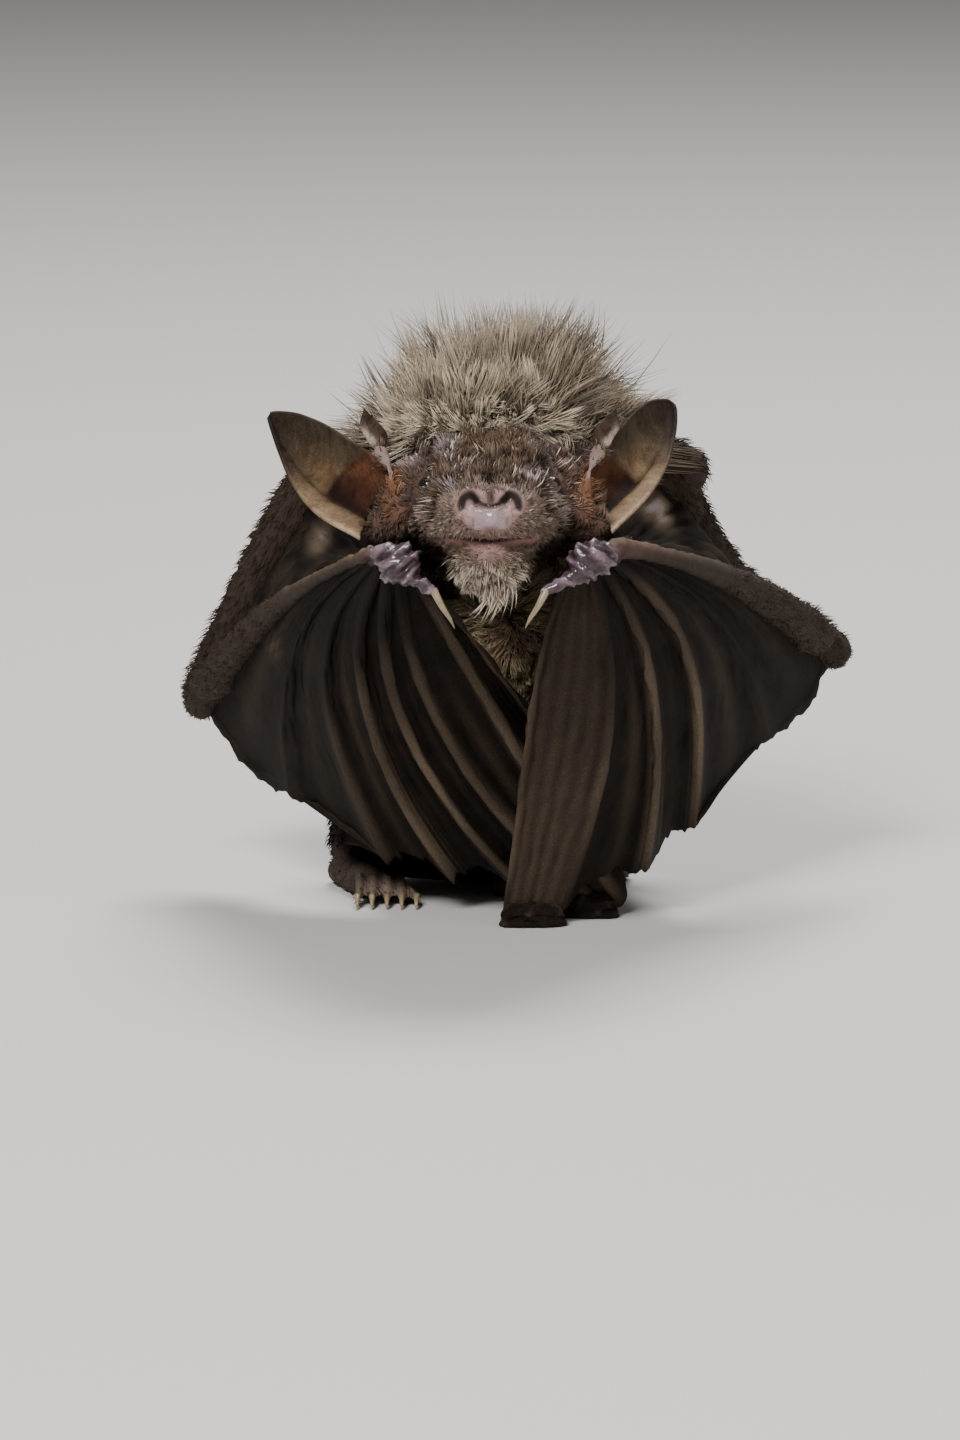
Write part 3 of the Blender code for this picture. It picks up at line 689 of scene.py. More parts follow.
hide = Recipe("hide")
wetness = hide.tone.outputs["Alpha"]
grain, fine, patch = hide.noise(5.0, 4.0, 0.65), hide.noise(16.0, 3.0, 0.7), hide.noise(1.1)
hide.tint(patch, 0.3, 0.7, 0.45, (0.5, 0.42, 0.40))
hide.tint(grain, 0.45, 0.75, 0.5, (1.5, 1.4, 1.36))
dry = hide.spread(fine, 0.2, 0.8, 0.58, 0.85)
hide.finish(Roughness=hide.math("SUBTRACT", dry, hide.times(wetness, 0.42)),
            Coat_Weight=hide.times(wetness, hide.spread(grain, 0.35, 0.6, 0.1, 0.9)),
            Coat_Roughness=0.16, Specular_IOR_Level=0.22)
hide.relief(hide.plus(grain, hide.times(fine, 0.5)), 0.09, 0.8)

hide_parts(*flesh, *(part + side for part in ("thumb_", "tragus_") for side in SIDES))
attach(skin, "root")
skin.data.materials.clear()
skin.data.materials.append(hide.material)

# ---------------------------------------------------------------- the eyes
# Small black beads, deep between the lids, with a wet surface.
EYE_RADIUS = 0.62
bead = Recipe("eye", (0.004, 0.003, 0.003))
bead.cover(bead.noise(2.5, 2.0), (0.016, 0.010, 0.007))
bead.finish(Roughness=0.13, Coat_Weight=0.3, Coat_Roughness=0.06)


def finish_piece(thing, material, slot, *replaced):
    """Places a piece, gives it its one material and ties it to the frame."""
    thing.data.name = thing.name
    spots = points_of(thing.data)
    spots[:, 2] = np.maximum(spots[:, 2], 0)
    set_points(thing.data, spots)
    thing.data.transform(TO_ROW)
    thing.data.materials.clear()
    thing.data.materials.append(material)
    only(thing)
    bpy.ops.object.shade_smooth()
    if replaced:
        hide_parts(*replaced)
    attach(thing, "root")


for side in SIDES:
    x, y, z = (np.array(EYE) - (0.12, 0, 0)) * (OUT[side], 1, 1)
    ball = shape(bpy.ops.mesh.primitive_uv_sphere_add, segments=40, ring_count=24, radius=EYE_RADIUS,
                 location=(x, y, z))
    bpy.ops.object.transform_apply(location=True, rotation=False, scale=False)
    ball.name = "eyeball_" + side
    finish_piece(ball, bead.material, "eye", "eye_" + side)


# ---------------------------------------------------------------- the wings
# Each wing is a sheet of thin dark skin, gathered at the wrist and hung in pleats from the forearm and the
# folded fingers, whose bones stand out as ridges. The left wing hangs in front of the right one.
WING = {  # the lower end of each strut of the fan, from the third finger to the elbow, and its bow
    "left": [(0.9, 23.6, 1.3, 0.4, -2.0, 0.8), (4.6, 23.8, 1.3, 0.4, -2.0, 0.8),
             (9.8, 25.2, 2.9, 0.6, -1.8, 1.0), (13.0, 27.2, 5.4, 1.0, -1.2, 1.2),
             (18.0, 32.0, 10.4, 1.0, -0.6, 1.3), (22.4, 38.0, 15.4, 0.4, 0.0, 1.3)],
    "right": [(9.6, 26.2, 4.8, -0.2, 0.4, 0.0), (8.0, 26.4, 1.3, -0.2, 0.4, 0.0),
              (3.4, 27.0, 1.3, -0.4, -0.4, 0.2), (-1.4, 27.2, 1.9, -0.6, -1.0, 0.6),
              (-6.4, 28.2, 3.0, -0.8, -1.2, 0.8), (-12.8, 32.4, 6.6, -1.0, -0.8, 1.2),
              (-18.8, 37.6, 12.2, -0.6, 0.0, 1.4)],
}
PALM = 0.08  # how far the struts are spread where they leave the wrist
WALL = 0.16  # of the skin between the bones
CREASE, RIPPLE = 0.16, 0.035  # how high the creases along and across the struts are
EDGE_BOW = {"left": np.array((-1.4, 0.0, 0.0)), "right": np.zeros(3)}  # of the edges that meet at the breast
INWARD = np.array((0.0, 0.85, 0.5))
# how far the skin hangs between one ridge and the next, and how strong a second pleat there is
SLACK = {"left": (0.10, 0.95, 1.15, 0.8, 0.5), "right": (0.4, 0.7, 0.9, 1.1, 1.2, 0.9, 0.6)}
SECOND_PLEAT = {"left": (0.0, 0.45, 0.1, 0.4, 0.2), "right": (0.0, 0.5, 0.2, 0.15, 0.4, 0.2, 0.3)}
CRESTS = {  # where the ridges lie among the struts: near the wrist, then at the edge; they sweep inward
    "left": ((0, 1.9, 3.1, 3.85, 4.5, 5), (0, 1, 2, 3, 4, 5)),
    "right": ((0, 1.2, 3.2, 4.15, 4.75, 5.35, 5.7, 6), (0, 1.0, 1.4, 2.2, 3.15, 4.0, 5.0, 6)),
}
# the ridges' brightness stands partly for fine pale hair and is partly painted highlight
BRIGHT_CREST = {  # how bright each ridge is, and how far down it the brightness begins
    "left": ((0.7, 0.55, 0.7, 0.85, 0.1, 0.2), (0.2, 0.3, 0.12, 0.16, 0.5, 0.3)),
    "right": ((0.45, 0.9, 0.85, 1.0, 1.0, 0.7, 0.1, 0.2), (0.05, 0.08, 0.26, 0.30, 0.42, 0.60, 0.6, 0.3)),
}


def smooth(rows, at):
    """Points on a smooth curve through rows of numbers, at places counted in rows."""
    rows = np.array(rows, float)
    padded = np.vstack([2 * rows[0] - rows[1], rows, 2 * rows[-1] - rows[-2]])
    i = np.clip(np.floor(at).astype(int), 0, len(rows) - 2)
    f = (np.asarray(at) - i)[..., None]
    a, b, c, d = (padded[i + k] for k in range(4))
    return b + 0.5 * ((c - a) * f + (2 * a - 5 * b + 4 * c - d) * f**2 + (3 * b - 3 * c + d - a) * f**3)


def fan(side, at, reach):
    """Points of the wing's fan: struts counted from the third finger, and shares of the way down them."""
    rows = smooth(WING[side], at)
    end, bow = rows[..., :3], rows[..., 3:]
    middle = np.mean([row[:3] for row in WING[side]], axis=0)
    reach = reach[..., None]
    hung = np.sin(np.pi * reach**0.6) * dome(np.asarray(at)[..., None], 0, 0.8)
    return (np.array(WRIST[side]) * (1 - reach) + middle * reach + hung * EDGE_BOW[side]
            + (end - middle) * (PALM + (1 - PALM) * reach) + bow * np.sin(np.pi * reach))


def sheet(name, grid, thickness, crest):
    """A thin skin on a grid of points, thicker where its bones are, that carries how near a crest it is."""
    rows, columns = grid.shape[:2]
    thing = shape(bpy.ops.mesh.primitive_grid_add, x_subdivisions=columns - 1, y_subdivisions=rows - 1,
                  size=2)
    thing.name = name
    spots = points_of(thing.data)
    c = np.rint((spots[:, 0] + 1) / 2 * (columns - 1)).astype(int)
    r = np.rint((spots[:, 1] + 1) / 2 * (rows - 1)).astype(int)
    set_points(thing.data, grid[r, c])
    mark(thing.data, "crest", crest[r, c])
    thickest = thickness.max()
    stout = np.round(thickness[r, c] / thickest, 2)
    group = thing.vertex_groups.new(name="stout")
    for level in np.unique(stout):
        group.add(np.flatnonzero(stout == level).tolist(), float(level), "REPLACE")
    apply_step(thing, "SOLIDIFY", thickness=thickest, offset=0, vertex_group="stout")
    thing.vertex_groups.clear()
    return thing


def waves(rng, count, at, slow):
    """Creases of random spacing along one direction, which fade in and out along the other."""
    total = np.zeros(np.broadcast(at, slow).shape)
    for _ in range(count):
        beat = rng.uniform(2, 8)
        total += (np.sin(beat * math.tau * at + rng.uniform(0, 6) + 1.2 * np.sin(slow * rng.uniform(2, 7)))
                  * (0.5 + 0.5 * np.sin(slow * rng.uniform(3, 9) + rng.uniform(0, 6))) / beat)
    return total


wing_skin = Recipe("wing_skin", (0.0038, 0.0026, 0.0022))
crest = wing_skin.attribute("crest").outputs["Fac"]
grain, pores = wing_skin.noise(7.0, 4.0, 0.75), wing_skin.noise(20.0, 2.0, 0.7)
cloud = wing_skin.noise(0.35, 4.0, 0.6)
dust = wing_skin.times(wing_skin.spread(grain, 0.42, 0.72), wing_skin.spread(cloud, 0.35, 0.65, 0.35, 1))
wing_skin.cover(wing_skin.spread(cloud, 0.3, 0.7), (0.0095, 0.0064, 0.0048))
# the crests are paler: partly fine pale hair, partly painted highlight on the ridges and folds
wing_skin.cover(wing_skin.times(crest, wing_skin.spread(grain, 0.25, 0.7, 0.35, 1.0)), (0.200, 0.146, 0.102))
wing_skin.cover(wing_skin.times(dust, 0.12), (0.09, 0.064, 0.045))
# painted sheen: lilac grey where the crest runs past 1.2, that is on the front webs' patches, and faintly on
# the palest wing ridges
sheen_crest = wing_skin.plus(crest, wing_skin.times(grain, 0.5))
wing_skin.cover(wing_skin.spread(sheen_crest, 1.2, 2.2), (0.40, 0.34, 0.37))
wing_skin.finish(Roughness=wing_skin.spread(pores, 0.3, 0.7, 0.5, 0.8), Specular_IOR_Level=0.06)
wing_skin.relief(wing_skin.plus(grain, wing_skin.times(pores, 0.6)), 0.07, 0.9)

for side, seed in (("left", 3), ("right", 4)):
    rng = np.random.default_rng(seed)
    columns, rows = 261, 95
    spaces = len(SLACK[side])
    at = np.linspace(0, spaces, columns)
    space = np.minimum(np.floor(at), spaces - 1).astype(int)
    phase = at - space
    depth = np.array(SLACK[side])[space]
    slack = np.sin(np.pi * phase) ** 1.1
    second = np.array(SECOND_PLEAT[side])[space] * dome(phase, 0.5, 0.13)
    share = np.linspace(0, 1, rows)[:, None]
    start, end = (np.interp(at, range(spaces + 1), line) for line in CRESTS[side])
    ragged = 0.012 * np.sin(at * 9.0 + seed) + 0.006 * np.sin(at * 23.0) + 0.002 * np.sin(at * 61.0 + seed)
    first = len(WING[side]) - 6  # the strut of the third finger
    tucked = window(end, first - 0.3, first + 1.1, 0.05)  # into the roll of finger ends
    full = above(at, spaces - 1, 0.02)  # the skin below the elbow hangs full
    short = (0.03 - 0.09 * full) * slack + abs(ragged)  # the hem between two struts
    reach = 0.03 + (0.97 + 0.025 * tucked - short * (1 - tucked)) * share
    grid = fan(side, start + (end - start) * reach**1.6, reach)
    spread = norm(np.gradient(grid, at, axis=1))  # millimetres from ridge to ridge
    from_strut = abs(at - np.rint(at)) * spread
    down = np.sin(np.pi / 2 * np.minimum(reach * 1.3, 1))
    sag = 0.95 * (slack * depth - second * 0.55) * down
    creases = CREASE * waves(rng, 9, at[None] + 0.02 * np.sin(9 * reach), 6 * reach)
    creases = creases * np.minimum(spread, 3) / 3
    ripples = RIPPLE * waves(rng, 7, 4.2 * reach + 0.15 * np.sin(3 * at)[None], at[None])
    calm = 1 - 0.6 * above(reach, 0.86, 0.04)
    grid = grid + (sag + (creases + ripples) * calm * down)[..., None] * INWARD
    boned = np.rint(at) <= first + 3  # the folded fingers; the other ridges are pleats
    joint = sum(dome(reach, spot, 0.02) for spot in (0.36, 0.63))
    bone = (0.62 - 0.28 * reach + 0.12 * joint) * np.where(boned, 1.0, 0.35) * calm
    thickness = WALL + bone * np.sqrt(np.maximum(0, 1 - (from_strut / (0.42 * bone + 0.22)) ** 2))
    bright, begins = (np.array(row)[np.rint(at).astype(int)] for row in BRIGHT_CREST[side])
    wide = 0.20 + 0.60 * reach**1.5
    patchy = 0.80 + 0.20 * np.sin(13 * reach + 2.7 * at + seed)
    along = window(reach, begins, 0.965, 0.03) * (0.35 + 0.65 * above(reach, begins + 0.26, 0.07))
    ridge = dome(from_strut, 0, wide) * bright * patchy * along
    ridge = np.maximum(ridge, 0.40 * second * window(reach, 0.45, 0.95, 0.06))
    if side == "right":  # a paler, speckled patch
        paler_patch = np.exp(-((at - 6.45) / 0.22) ** 2 - ((reach - 0.62) / 0.055) ** 2)
        ridge = np.maximum(ridge, 0.40 * paler_patch * (0.6 + 0.4 * np.sin(40 * at) * np.sin(70 * reach + 9 * at)))
    else:  # the flat panel that hangs in front
        panel = window(at, -0.02, 0.97, 0.03) * (0.12 + 0.34 * window(reach, 0.60, 2, 0.10))
        ridge = np.maximum(ridge, panel * (0.8 + 0.2 * np.sin(31 * at + 3 * reach)))
    thing = sheet("wing_" + side, grid, thickness, clamp(ridge))
    finish_piece(thing, wing_skin.material, "wing_skin", "hand_wing_" + side, "arm_wing_" + side)


# ---------------------------------------------------------------- the other membranes
# The same dark skin runs ahead of each elbow to the shoulder, behind the arm to the flank and the ankle,
# and from the legs to the tail. The folded finger ends lie on the floor in a small roll.
UPPER_ARM_BOW = {"left": (-1.5, 0.6, -0.6), "right": (0.0, 0.3, 0.8)}


def between(start, end, share, bow=(0, 0, 0)):
    start, end, bow = (np.array(v, float) for v in (start, end, bow))
    return start + (end - start) * share + bow * math.sin(math.pi * share)


def web(name, one, two, sag, seed, node, crinkle=0.16, paler_patch=(0, 0, 0)):
    """A slack skin from one smooth edge to another, with a patch of painted sheen; its folds are paler, partly
    by painted highlight.
    """
    rng = np.random.default_rng(seed)
    rows, columns = 71, 45
    first = smooth(one, np.linspace(0, len(one) - 1, rows))
    second = smooth(two, np.linspace(0, len(two) - 1, rows))
    share = np.linspace(0, 1, columns)[None, :]
    slack = np.minimum(norm(second - first) / 8, 1)[:, None]
    grid = first[:, None] + (second - first)[:, None] * share[..., None]
    grid = grid + (slack * np.sin(np.pi * share))[..., None] * np.array(sag)
    ways = unit(np.cross(np.gradient(grid, axis=0), np.gradient(grid, axis=1)))
    place_on = np.linspace(0, 1, rows)[:, None]
    fold = waves(rng, 8, place_on * 1.2 + 0.05 * np.sin(5 * share), 5 * share) * np.sin(np.pi * share) ** 0.5
    grid = grid + ways * (fold * slack * crinkle * 3)[..., None]
    from_paler_patch = norm((grid - paler_patch) / (1, 1.6, 1))
    # painted sheen: a pale lilac-grey patch, strongest on the folds; elsewhere the fold tops are a little
    # paler, partly painted highlight
    pale = 1.9 * dome(from_paler_patch, 0, 1.5, 3) * (0.8 + 1.5 * fold).clip(0.3, 1)
    crest = np.maximum(np.clip(0.07 + 0.25 * fold, 0, 0.18), pale)
    thing = sheet(name, grid, np.full((rows, columns), 0.2), crest)
    finish_piece(thing, wing_skin.material, "wing_skin", node)


def wing_point(side, before_elbow, share):
    return fan(side, np.array([len(WING[side]) - 1.0 - before_elbow]), np.array([float(share)]))[0]


for side, out in OUT.items():
    lower = [wing_point(side, 0, t) for t in (0.03, 0.25, 0.45, 0.65, 0.8, 1.0)]
    clear = (-1.0 * out, 0, -0.5)
    upper = [between(WRIST[side], SHOULDER[side], t, clear) for t in (0.05, 0.55, 1.0)]
    upper += [between(SHOULDER[side], ELBOW[side], t, UPPER_ARM_BOW[side]) for t in (0.3, 0.65, 1.0)]
    # where each front web carries its patch of painted sheen
    paler_patch = {"left": (10.9, 21.0, 27.6), "right": (-11.3, 21.0, 26.0)}[side]
    web("front_web_skin_" + side, lower, upper, (0.3 * out, 0.2, -0.5), 11, "front_web_" + side, paler_patch=paler_patch)

    ankle = np.array(ANKLE[side])
    hem = [wing_point(side, struts, share) + (0, 0.15, 0.1)
           for struts, share in ((0, 0.985), (0.5, 1.035), (1, 0.985), (1.5, 0.975), (2, 0.985))]
    hem += [between(hem[-1], ankle, 0.6, (0, 0, 0.5)), ankle + (0.2 * out, 0, 0.5)]
    flank = [between(SHOULDER[side], ELBOW[side], 0.9),
             between(SHOULDER[side], ELBOW[side], 0.45, (0, 0, -1)),
             between(SHOULDER[side], ELBOW[side], 0.12, (-1.2 * out, 0.6, -1.6)),
             (2.2 + 5.4 * out, 30.2, 22.6), (2.4 + 5.2 * out, 34.0, 17.4), (2.2 + 4.6 * out, 37.4, 12.6),
             ankle + (-1.0 * out, 1.0, 5.0), ankle + (0, 0.2, 1.2)]
    web("flank_web_skin_" + side, hem, flank, (0, 0.8, 0.8), 12, "flank_wing_" + side, 0.22)

    knee, end = np.array(KNEE[side]), np.array(TAIL[-1])
    by_leg = [knee + (-0.6 * out, 0, -0.2), between(knee, ankle, 0.3), between(knee, ankle, 0.7),
              ankle + (0, 0.6, -0.9),
              between(ankle, end, 0.35, (0, 0.5, -0.5)) * (1, 1, 0) + (0, 0, 0.9),
              between(ankle, end, 0.7, (0, 0.5, 0)) * (1, 1, 0) + (0, 0, 0.8), end + (1.5 * out, -0.6, 0.2)]
    rump = [(1.8 + 1.2 * out, 41.2, 8.8)]
    web("tail_web_skin_" + side, rump + TAIL, by_leg, (0, 0, 0), 13, "tail_web_" + side, 0.08)

    roll = copy_of("finger_tips_" + side)
    roll.name = "folded_finger_tips_" + side
    only(roll)
    apply_step(roll, "REMESH", mode="VOXEL", voxel_size=0.12)
    apply_smooth(roll, 8)
    spots, ways = points_of(roll.data), normals_of(roll.data)
    length = spots[:, 0] - spots[:, 0].mean()
    rng = np.random.default_rng(17)
    pleat = np.zeros(len(spots))
    for k in range(9):
        across = rng.normal(size=3) * (0.55, 1.0, 1.0)
        across *= rng.uniform(1.0, 3.2) / np.linalg.norm(across)
        fold = 1 - abs(np.sin(spots @ across + rng.uniform(0, 6) + 0.9 * np.sin(length * 1.1 + k)))
        pleat += fold**2 * 0.13 - 0.045
    ends = clamp(abs(length) / abs(length).max()) ** 3
    lift = clamp(spots[:, 2] / 0.3)
    spots = spots + ways * ((pleat - 0.30 * ends - 0.12) * lift)[:, None]
    spots[:, 2] = np.maximum(spots[:, 2] * (1.12 - 0.5 * ends), 0.0)
    set_points(roll.data, spots)
    # the tops of the pleats are paler, partly painted highlight
    mark(roll.data, "crest", 0.16 * clamp(0.5 + pleat * 4))
    finish_piece(roll, wing_skin.material, "wing_skin", "finger_tips_" + side)


# ---------------------------------------------------------------- the ears
# Pointed shells of thin brown skin, open to the front. The outer rim is paler, partly by painted highlight, and
# turned forward, and low ribs cross the hollow. A flap stands behind each; the lance and the pale fold before
# it belong to the skin.
EAR_EDGES = {  # from the base to the tip: the inner edge, then the outer edge
    "left": ([(5.2, 13.4, 30.4), (7.2, 15.9, 32.0), (9.0, 19.2, 33.6), (10.7, 22.2, 34.4)],
             [(7.2, 12.6, 27.3), (9.5, 15.9, 29.1), (11.0, 19.4, 31.0), (12.0, 22.1, 33.3)]),
    "right": ([(-5.4, 13.4, 30.6), (-8.2, 15.9, 32.0), (-10.6, 19.1, 33.0), (-13.6, 22.4, 33.6)],
              [(-7.7, 12.6, 26.9), (-10.5, 15.7, 28.1), (-12.4, 19.2, 30.0), (-14.0, 22.0, 32.5)]),
}
# the flap behind the left ear: its middle line, its half widths from base to tip, and its way across
FLAP_LINE = [(6.7, 16.0, 31.4), (7.1, 16.2, 32.5), (7.5, 16.5, 33.4), (7.8, 16.8, 34.2)]
FLAP_HALVES = (0.62, 0.78, 0.62, 0.34, 0.12)
FLAP_FACING = (0.92, 0.1, -0.2)


def painted(thing, tones):
    mark(thing.data, "tone", np.column_stack([tones, np.zeros(len(tones))]))


ear_skin = Recipe("ear_skin")
patch, grain = ear_skin.noise(0.9, 4.0, 0.6), ear_skin.noise(6.0, 4.0, 0.7)
veins = ear_skin.noise(2.6, 5.0, 0.75, (1, 1, 0.5))
ear_skin.tint(patch, 0.35, 0.65, 0.85, (0.55, 0.49, 0.45))
ear_skin.tint(veins, 0.52, 0.60, 0.6, (0.55, 0.42, 0.36))
ear_skin.tint(grain, 0.5, 0.68, 0.8, (1.6, 1.5, 1.4))
ear_skin.finish(Roughness=ear_skin.spread(grain, 0.3, 0.7, 0.48, 0.7), Specular_IOR_Level=0.10)
ear_skin.relief(ear_skin.plus(grain, veins), 0.10, 0.9)

for side, out in OUT.items():
    rows, columns = 81, 57
    inner, outer = (smooth(edge, np.linspace(0, 3, rows))[:, None] for edge in EAR_EDGES[side])
    away = np.array((0.25 * out, 0.9, -0.1))
    share = np.linspace(0, 1, columns)[None, :]
    up = np.linspace(0, 1, rows)[:, None]
    round_off = np.sqrt(1 - clamp((up - 0.80) / 0.205) ** 2)  # the tip closes to a blunt point
    middle = inner * 0.45 + outer * 0.55
    inner, outer = (middle + (edge - middle) * round_off[..., None] for edge in (inner, outer))
    width = norm(outer - inner)
    depth = 0.5 * np.minimum(width, 5.0) * np.sin(np.pi * share) ** 0.8
    grid = inner + (outer - inner) * share[..., None] + depth[..., None] * away
    rim = dome(share, 1, 0.16) * window(up, -1, 0.72, 0.06)
    fold = dome(share, 0.78, 0.04) * window(up, -1, 0.66, 0.05)
    ribs = 1.6 * np.sin(up * 46) * dome(share, 0.60, 0.17) * window(up, 0.22, 0.78, 0.05)
    front = np.array((0.55 * out, -0.75, -0.35))
    hollow = above(0.23 + 0.08 * share - up, 0, 0.012) * window(share, 0.06, 0.76, 0.02)
    dents = fold * 0.32 - ribs * 0.05 + hollow * 0.5
    grid = grid + (rim * 0.55)[..., None] * front + dents[..., None] * away
    base = dome(up, 0, 0.24)
    thickness = 0.17 + 0.16 * base * np.sin(np.pi * share) + 0.07 * dome(share, 1, 0.05)
    last = rows - 1
    thing = sheet("ear_shell_" + side, grid, thickness, share + 2 * np.rint(up * last))
    code = read(thing.data.attributes["crest"].data, "value", 1)[:, 0]  # tells the row and the share across
    v = np.floor(code / 2.0 + 1e-4) / last
    u = code - 2 * last * v
    rim_line = 0.79 + 0.20 * above(v, 0.52, 0.06)
    shade = above(0.24 + 0.08 * u - v, 0, 0.010) * window(u, -1, 0.77, 0.015)
    tones = layered(
        np.tile((0.085, 0.064, 0.040), (len(u), 1)),
        ((0.020, 0.013, 0.011), above(v, 0.66, 0.09)),  # the tip
        ((0.045, 0.034, 0.022), 0.8 * window(u, -1, 0.34, 0.07) * above(v, 0.2, 0.05)),  # the inner side
        ((0.155, 0.098, 0.050), 0.85 * window(v, 0.2, 0.50, 0.06) * window(u, 0.34, 0.95, 0.08)),
        ((0.225, 0.155, 0.095), 0.9 * above(u, rim_line, 0.02) * window(v, -1, 0.60, 0.05)),  # the rim, paler: partly its own colour, partly painted highlight
        # painted shade in the groove along the rim
        ((0.022, 0.013, 0.009), 0.8 * dome(u, 0.775, 0.02) * window(v, -1, 0.52, 0.04)),
        # the rim's very edge, palest: partly its own colour, partly painted highlight
        ((0.42, 0.315, 0.205), above(u, 0.965, 0.012) * window(v, -1, 0.34, 0.04)),
        ((0.052, 0.020, 0.011), shade),  # the hollow
        ((0.130, 0.056, 0.028), 0.8 * shade * window(u, -1, 0.30, 0.06)),
        ((0.010, 0.005, 0.004), 0.9 * shade * above(u + 0.9 * (v - 0.12), 0.56, 0.05)),
    )
    painted(thing, tones)
    finish_piece(thing, ear_skin.material, "ear_skin", "ear_" + side)

    # a small flap stands behind the base of the ear
    leaf = shape(bpy.ops.mesh.primitive_uv_sphere_add, segments=24, ring_count=24, radius=1)
    leaf.name = "back_flap_" + side
    spots = points_of(leaf.data)
    t = (spots[:, 2] + 1) / 2
    half = np.interp(t, (0, 0.25, 0.6, 0.9, 1), FLAP_HALVES)[:, None]
    cupped = spots[:, 1:2] * 0.40 - 0.35 * (spots[:, :1] ** 2 - 0.4)
    pale = above(spots[:, 0] + 0.3 * np.sin(9 * t), 0.25, 0.08) * window(t, 0.16, 0.60, 0.05)
    half = half * (1 + 0.16 * np.sin(7 * t + 2.2 * np.sign(spots[:, 0]) + 1.0))[:, None]
    spots = (smooth(FLAP_LINE, t * 3) + spots[:, :1] * half * FLAP_FACING
             + cupped * np.minimum(half, 0.6) * (0, 1, 0))
    spots[:, 1] += 0.22 * np.sin(8 * t + 3 * spots[:, 0])
    set_points(leaf.data, spots * (out, 1, 1))
    bpy.ops.object.mode_set(mode="EDIT")
    bpy.ops.mesh.normals_make_consistent(inside=False)
    bpy.ops.object.mode_set(mode="OBJECT")
    painted(leaf, layered(np.tile((0.085, 0.056, 0.038), (len(t), 1)), ((0.020, 0.013, 0.009), t),
                          ((0.46, 0.38, 0.33), 0.85 * pale)))
    finish_piece(leaf, ear_skin.material, "ear_skin")


# ---------------------------------------------------------------- the claws
# A hook of smooth horn on each thumb, and five thin ones on each foot that grip the ground.
horn = Recipe("horn", (0.10, 0.072, 0.045))
streak = horn.noise(3.0, 3.0, 0.6, (1, 1, 0.3))
horn.cover(streak, (0.36, 0.28, 0.17))
horn.finish(Roughness=horn.spread(streak, 0.3, 0.7, 0.22, 0.36))
horn.relief(streak, 0.02, 0.5)


def rod(line, girths):
    """A smooth tapered rod through a line of points, with its radius at each."""
    at = np.linspace(0, len(line) - 1, 14)
    curve = bpy.data.curves.new("rod", "CURVE")
    curve.dimensions, curve.bevel_depth, curve.bevel_resolution, curve.use_fill_caps = "3D", 1.0, 3, True
    spline = curve.splines.new("POLY")
    spline.points.add(len(at) - 1)
    for point, spot, girth in zip(spline.points, smooth(line, at), np.interp(at, range(len(line)), girths)):
        point.co = (*spot, 1)
        point.radius = girth
    thing = new_piece("rod", curve)
    only(thing)
    bpy.ops.object.convert(target="MESH")
    return bpy.context.object


for side, out in OUT.items():
    tx, ty, tz = THUMB
    hook = rod([((tx + 0.15) * out, ty + 0.05, tz + 0.15), ((tx - 0.35) * out, ty - 0.25, tz - 0.8),
                ((tx - 0.85) * out, ty - 0.2, tz - 1.6), ((tx - 1.15) * out, ty + 0.25, tz - 2.3)],
               (0.27, 0.20, 0.13, 0.02))
    hook.name = "thumb_hook_" + side
    finish_piece(hook, horn.material, "claw", "thumb_claw_" + side)
    hooks = []
    for k in range(5):
        tx, ty, tz = np.array(TOES[side]) + ((k - 2) * 0.95, 0, 0)
        line = [(tx, ty + 0.1, 0.62), (tx, ty - 0.7, 0.72), (tx, ty - 1.25, 0.42), (tx, ty - 1.4, 0.04)]
        hooks.append(rod(line, (0.26, 0.20, 0.12, 0.02)))
    only(*hooks)
    bpy.ops.object.join()
    bpy.context.object.name = "toe_claws_" + side
    finish_piece(bpy.context.object, horn.material, "claw")


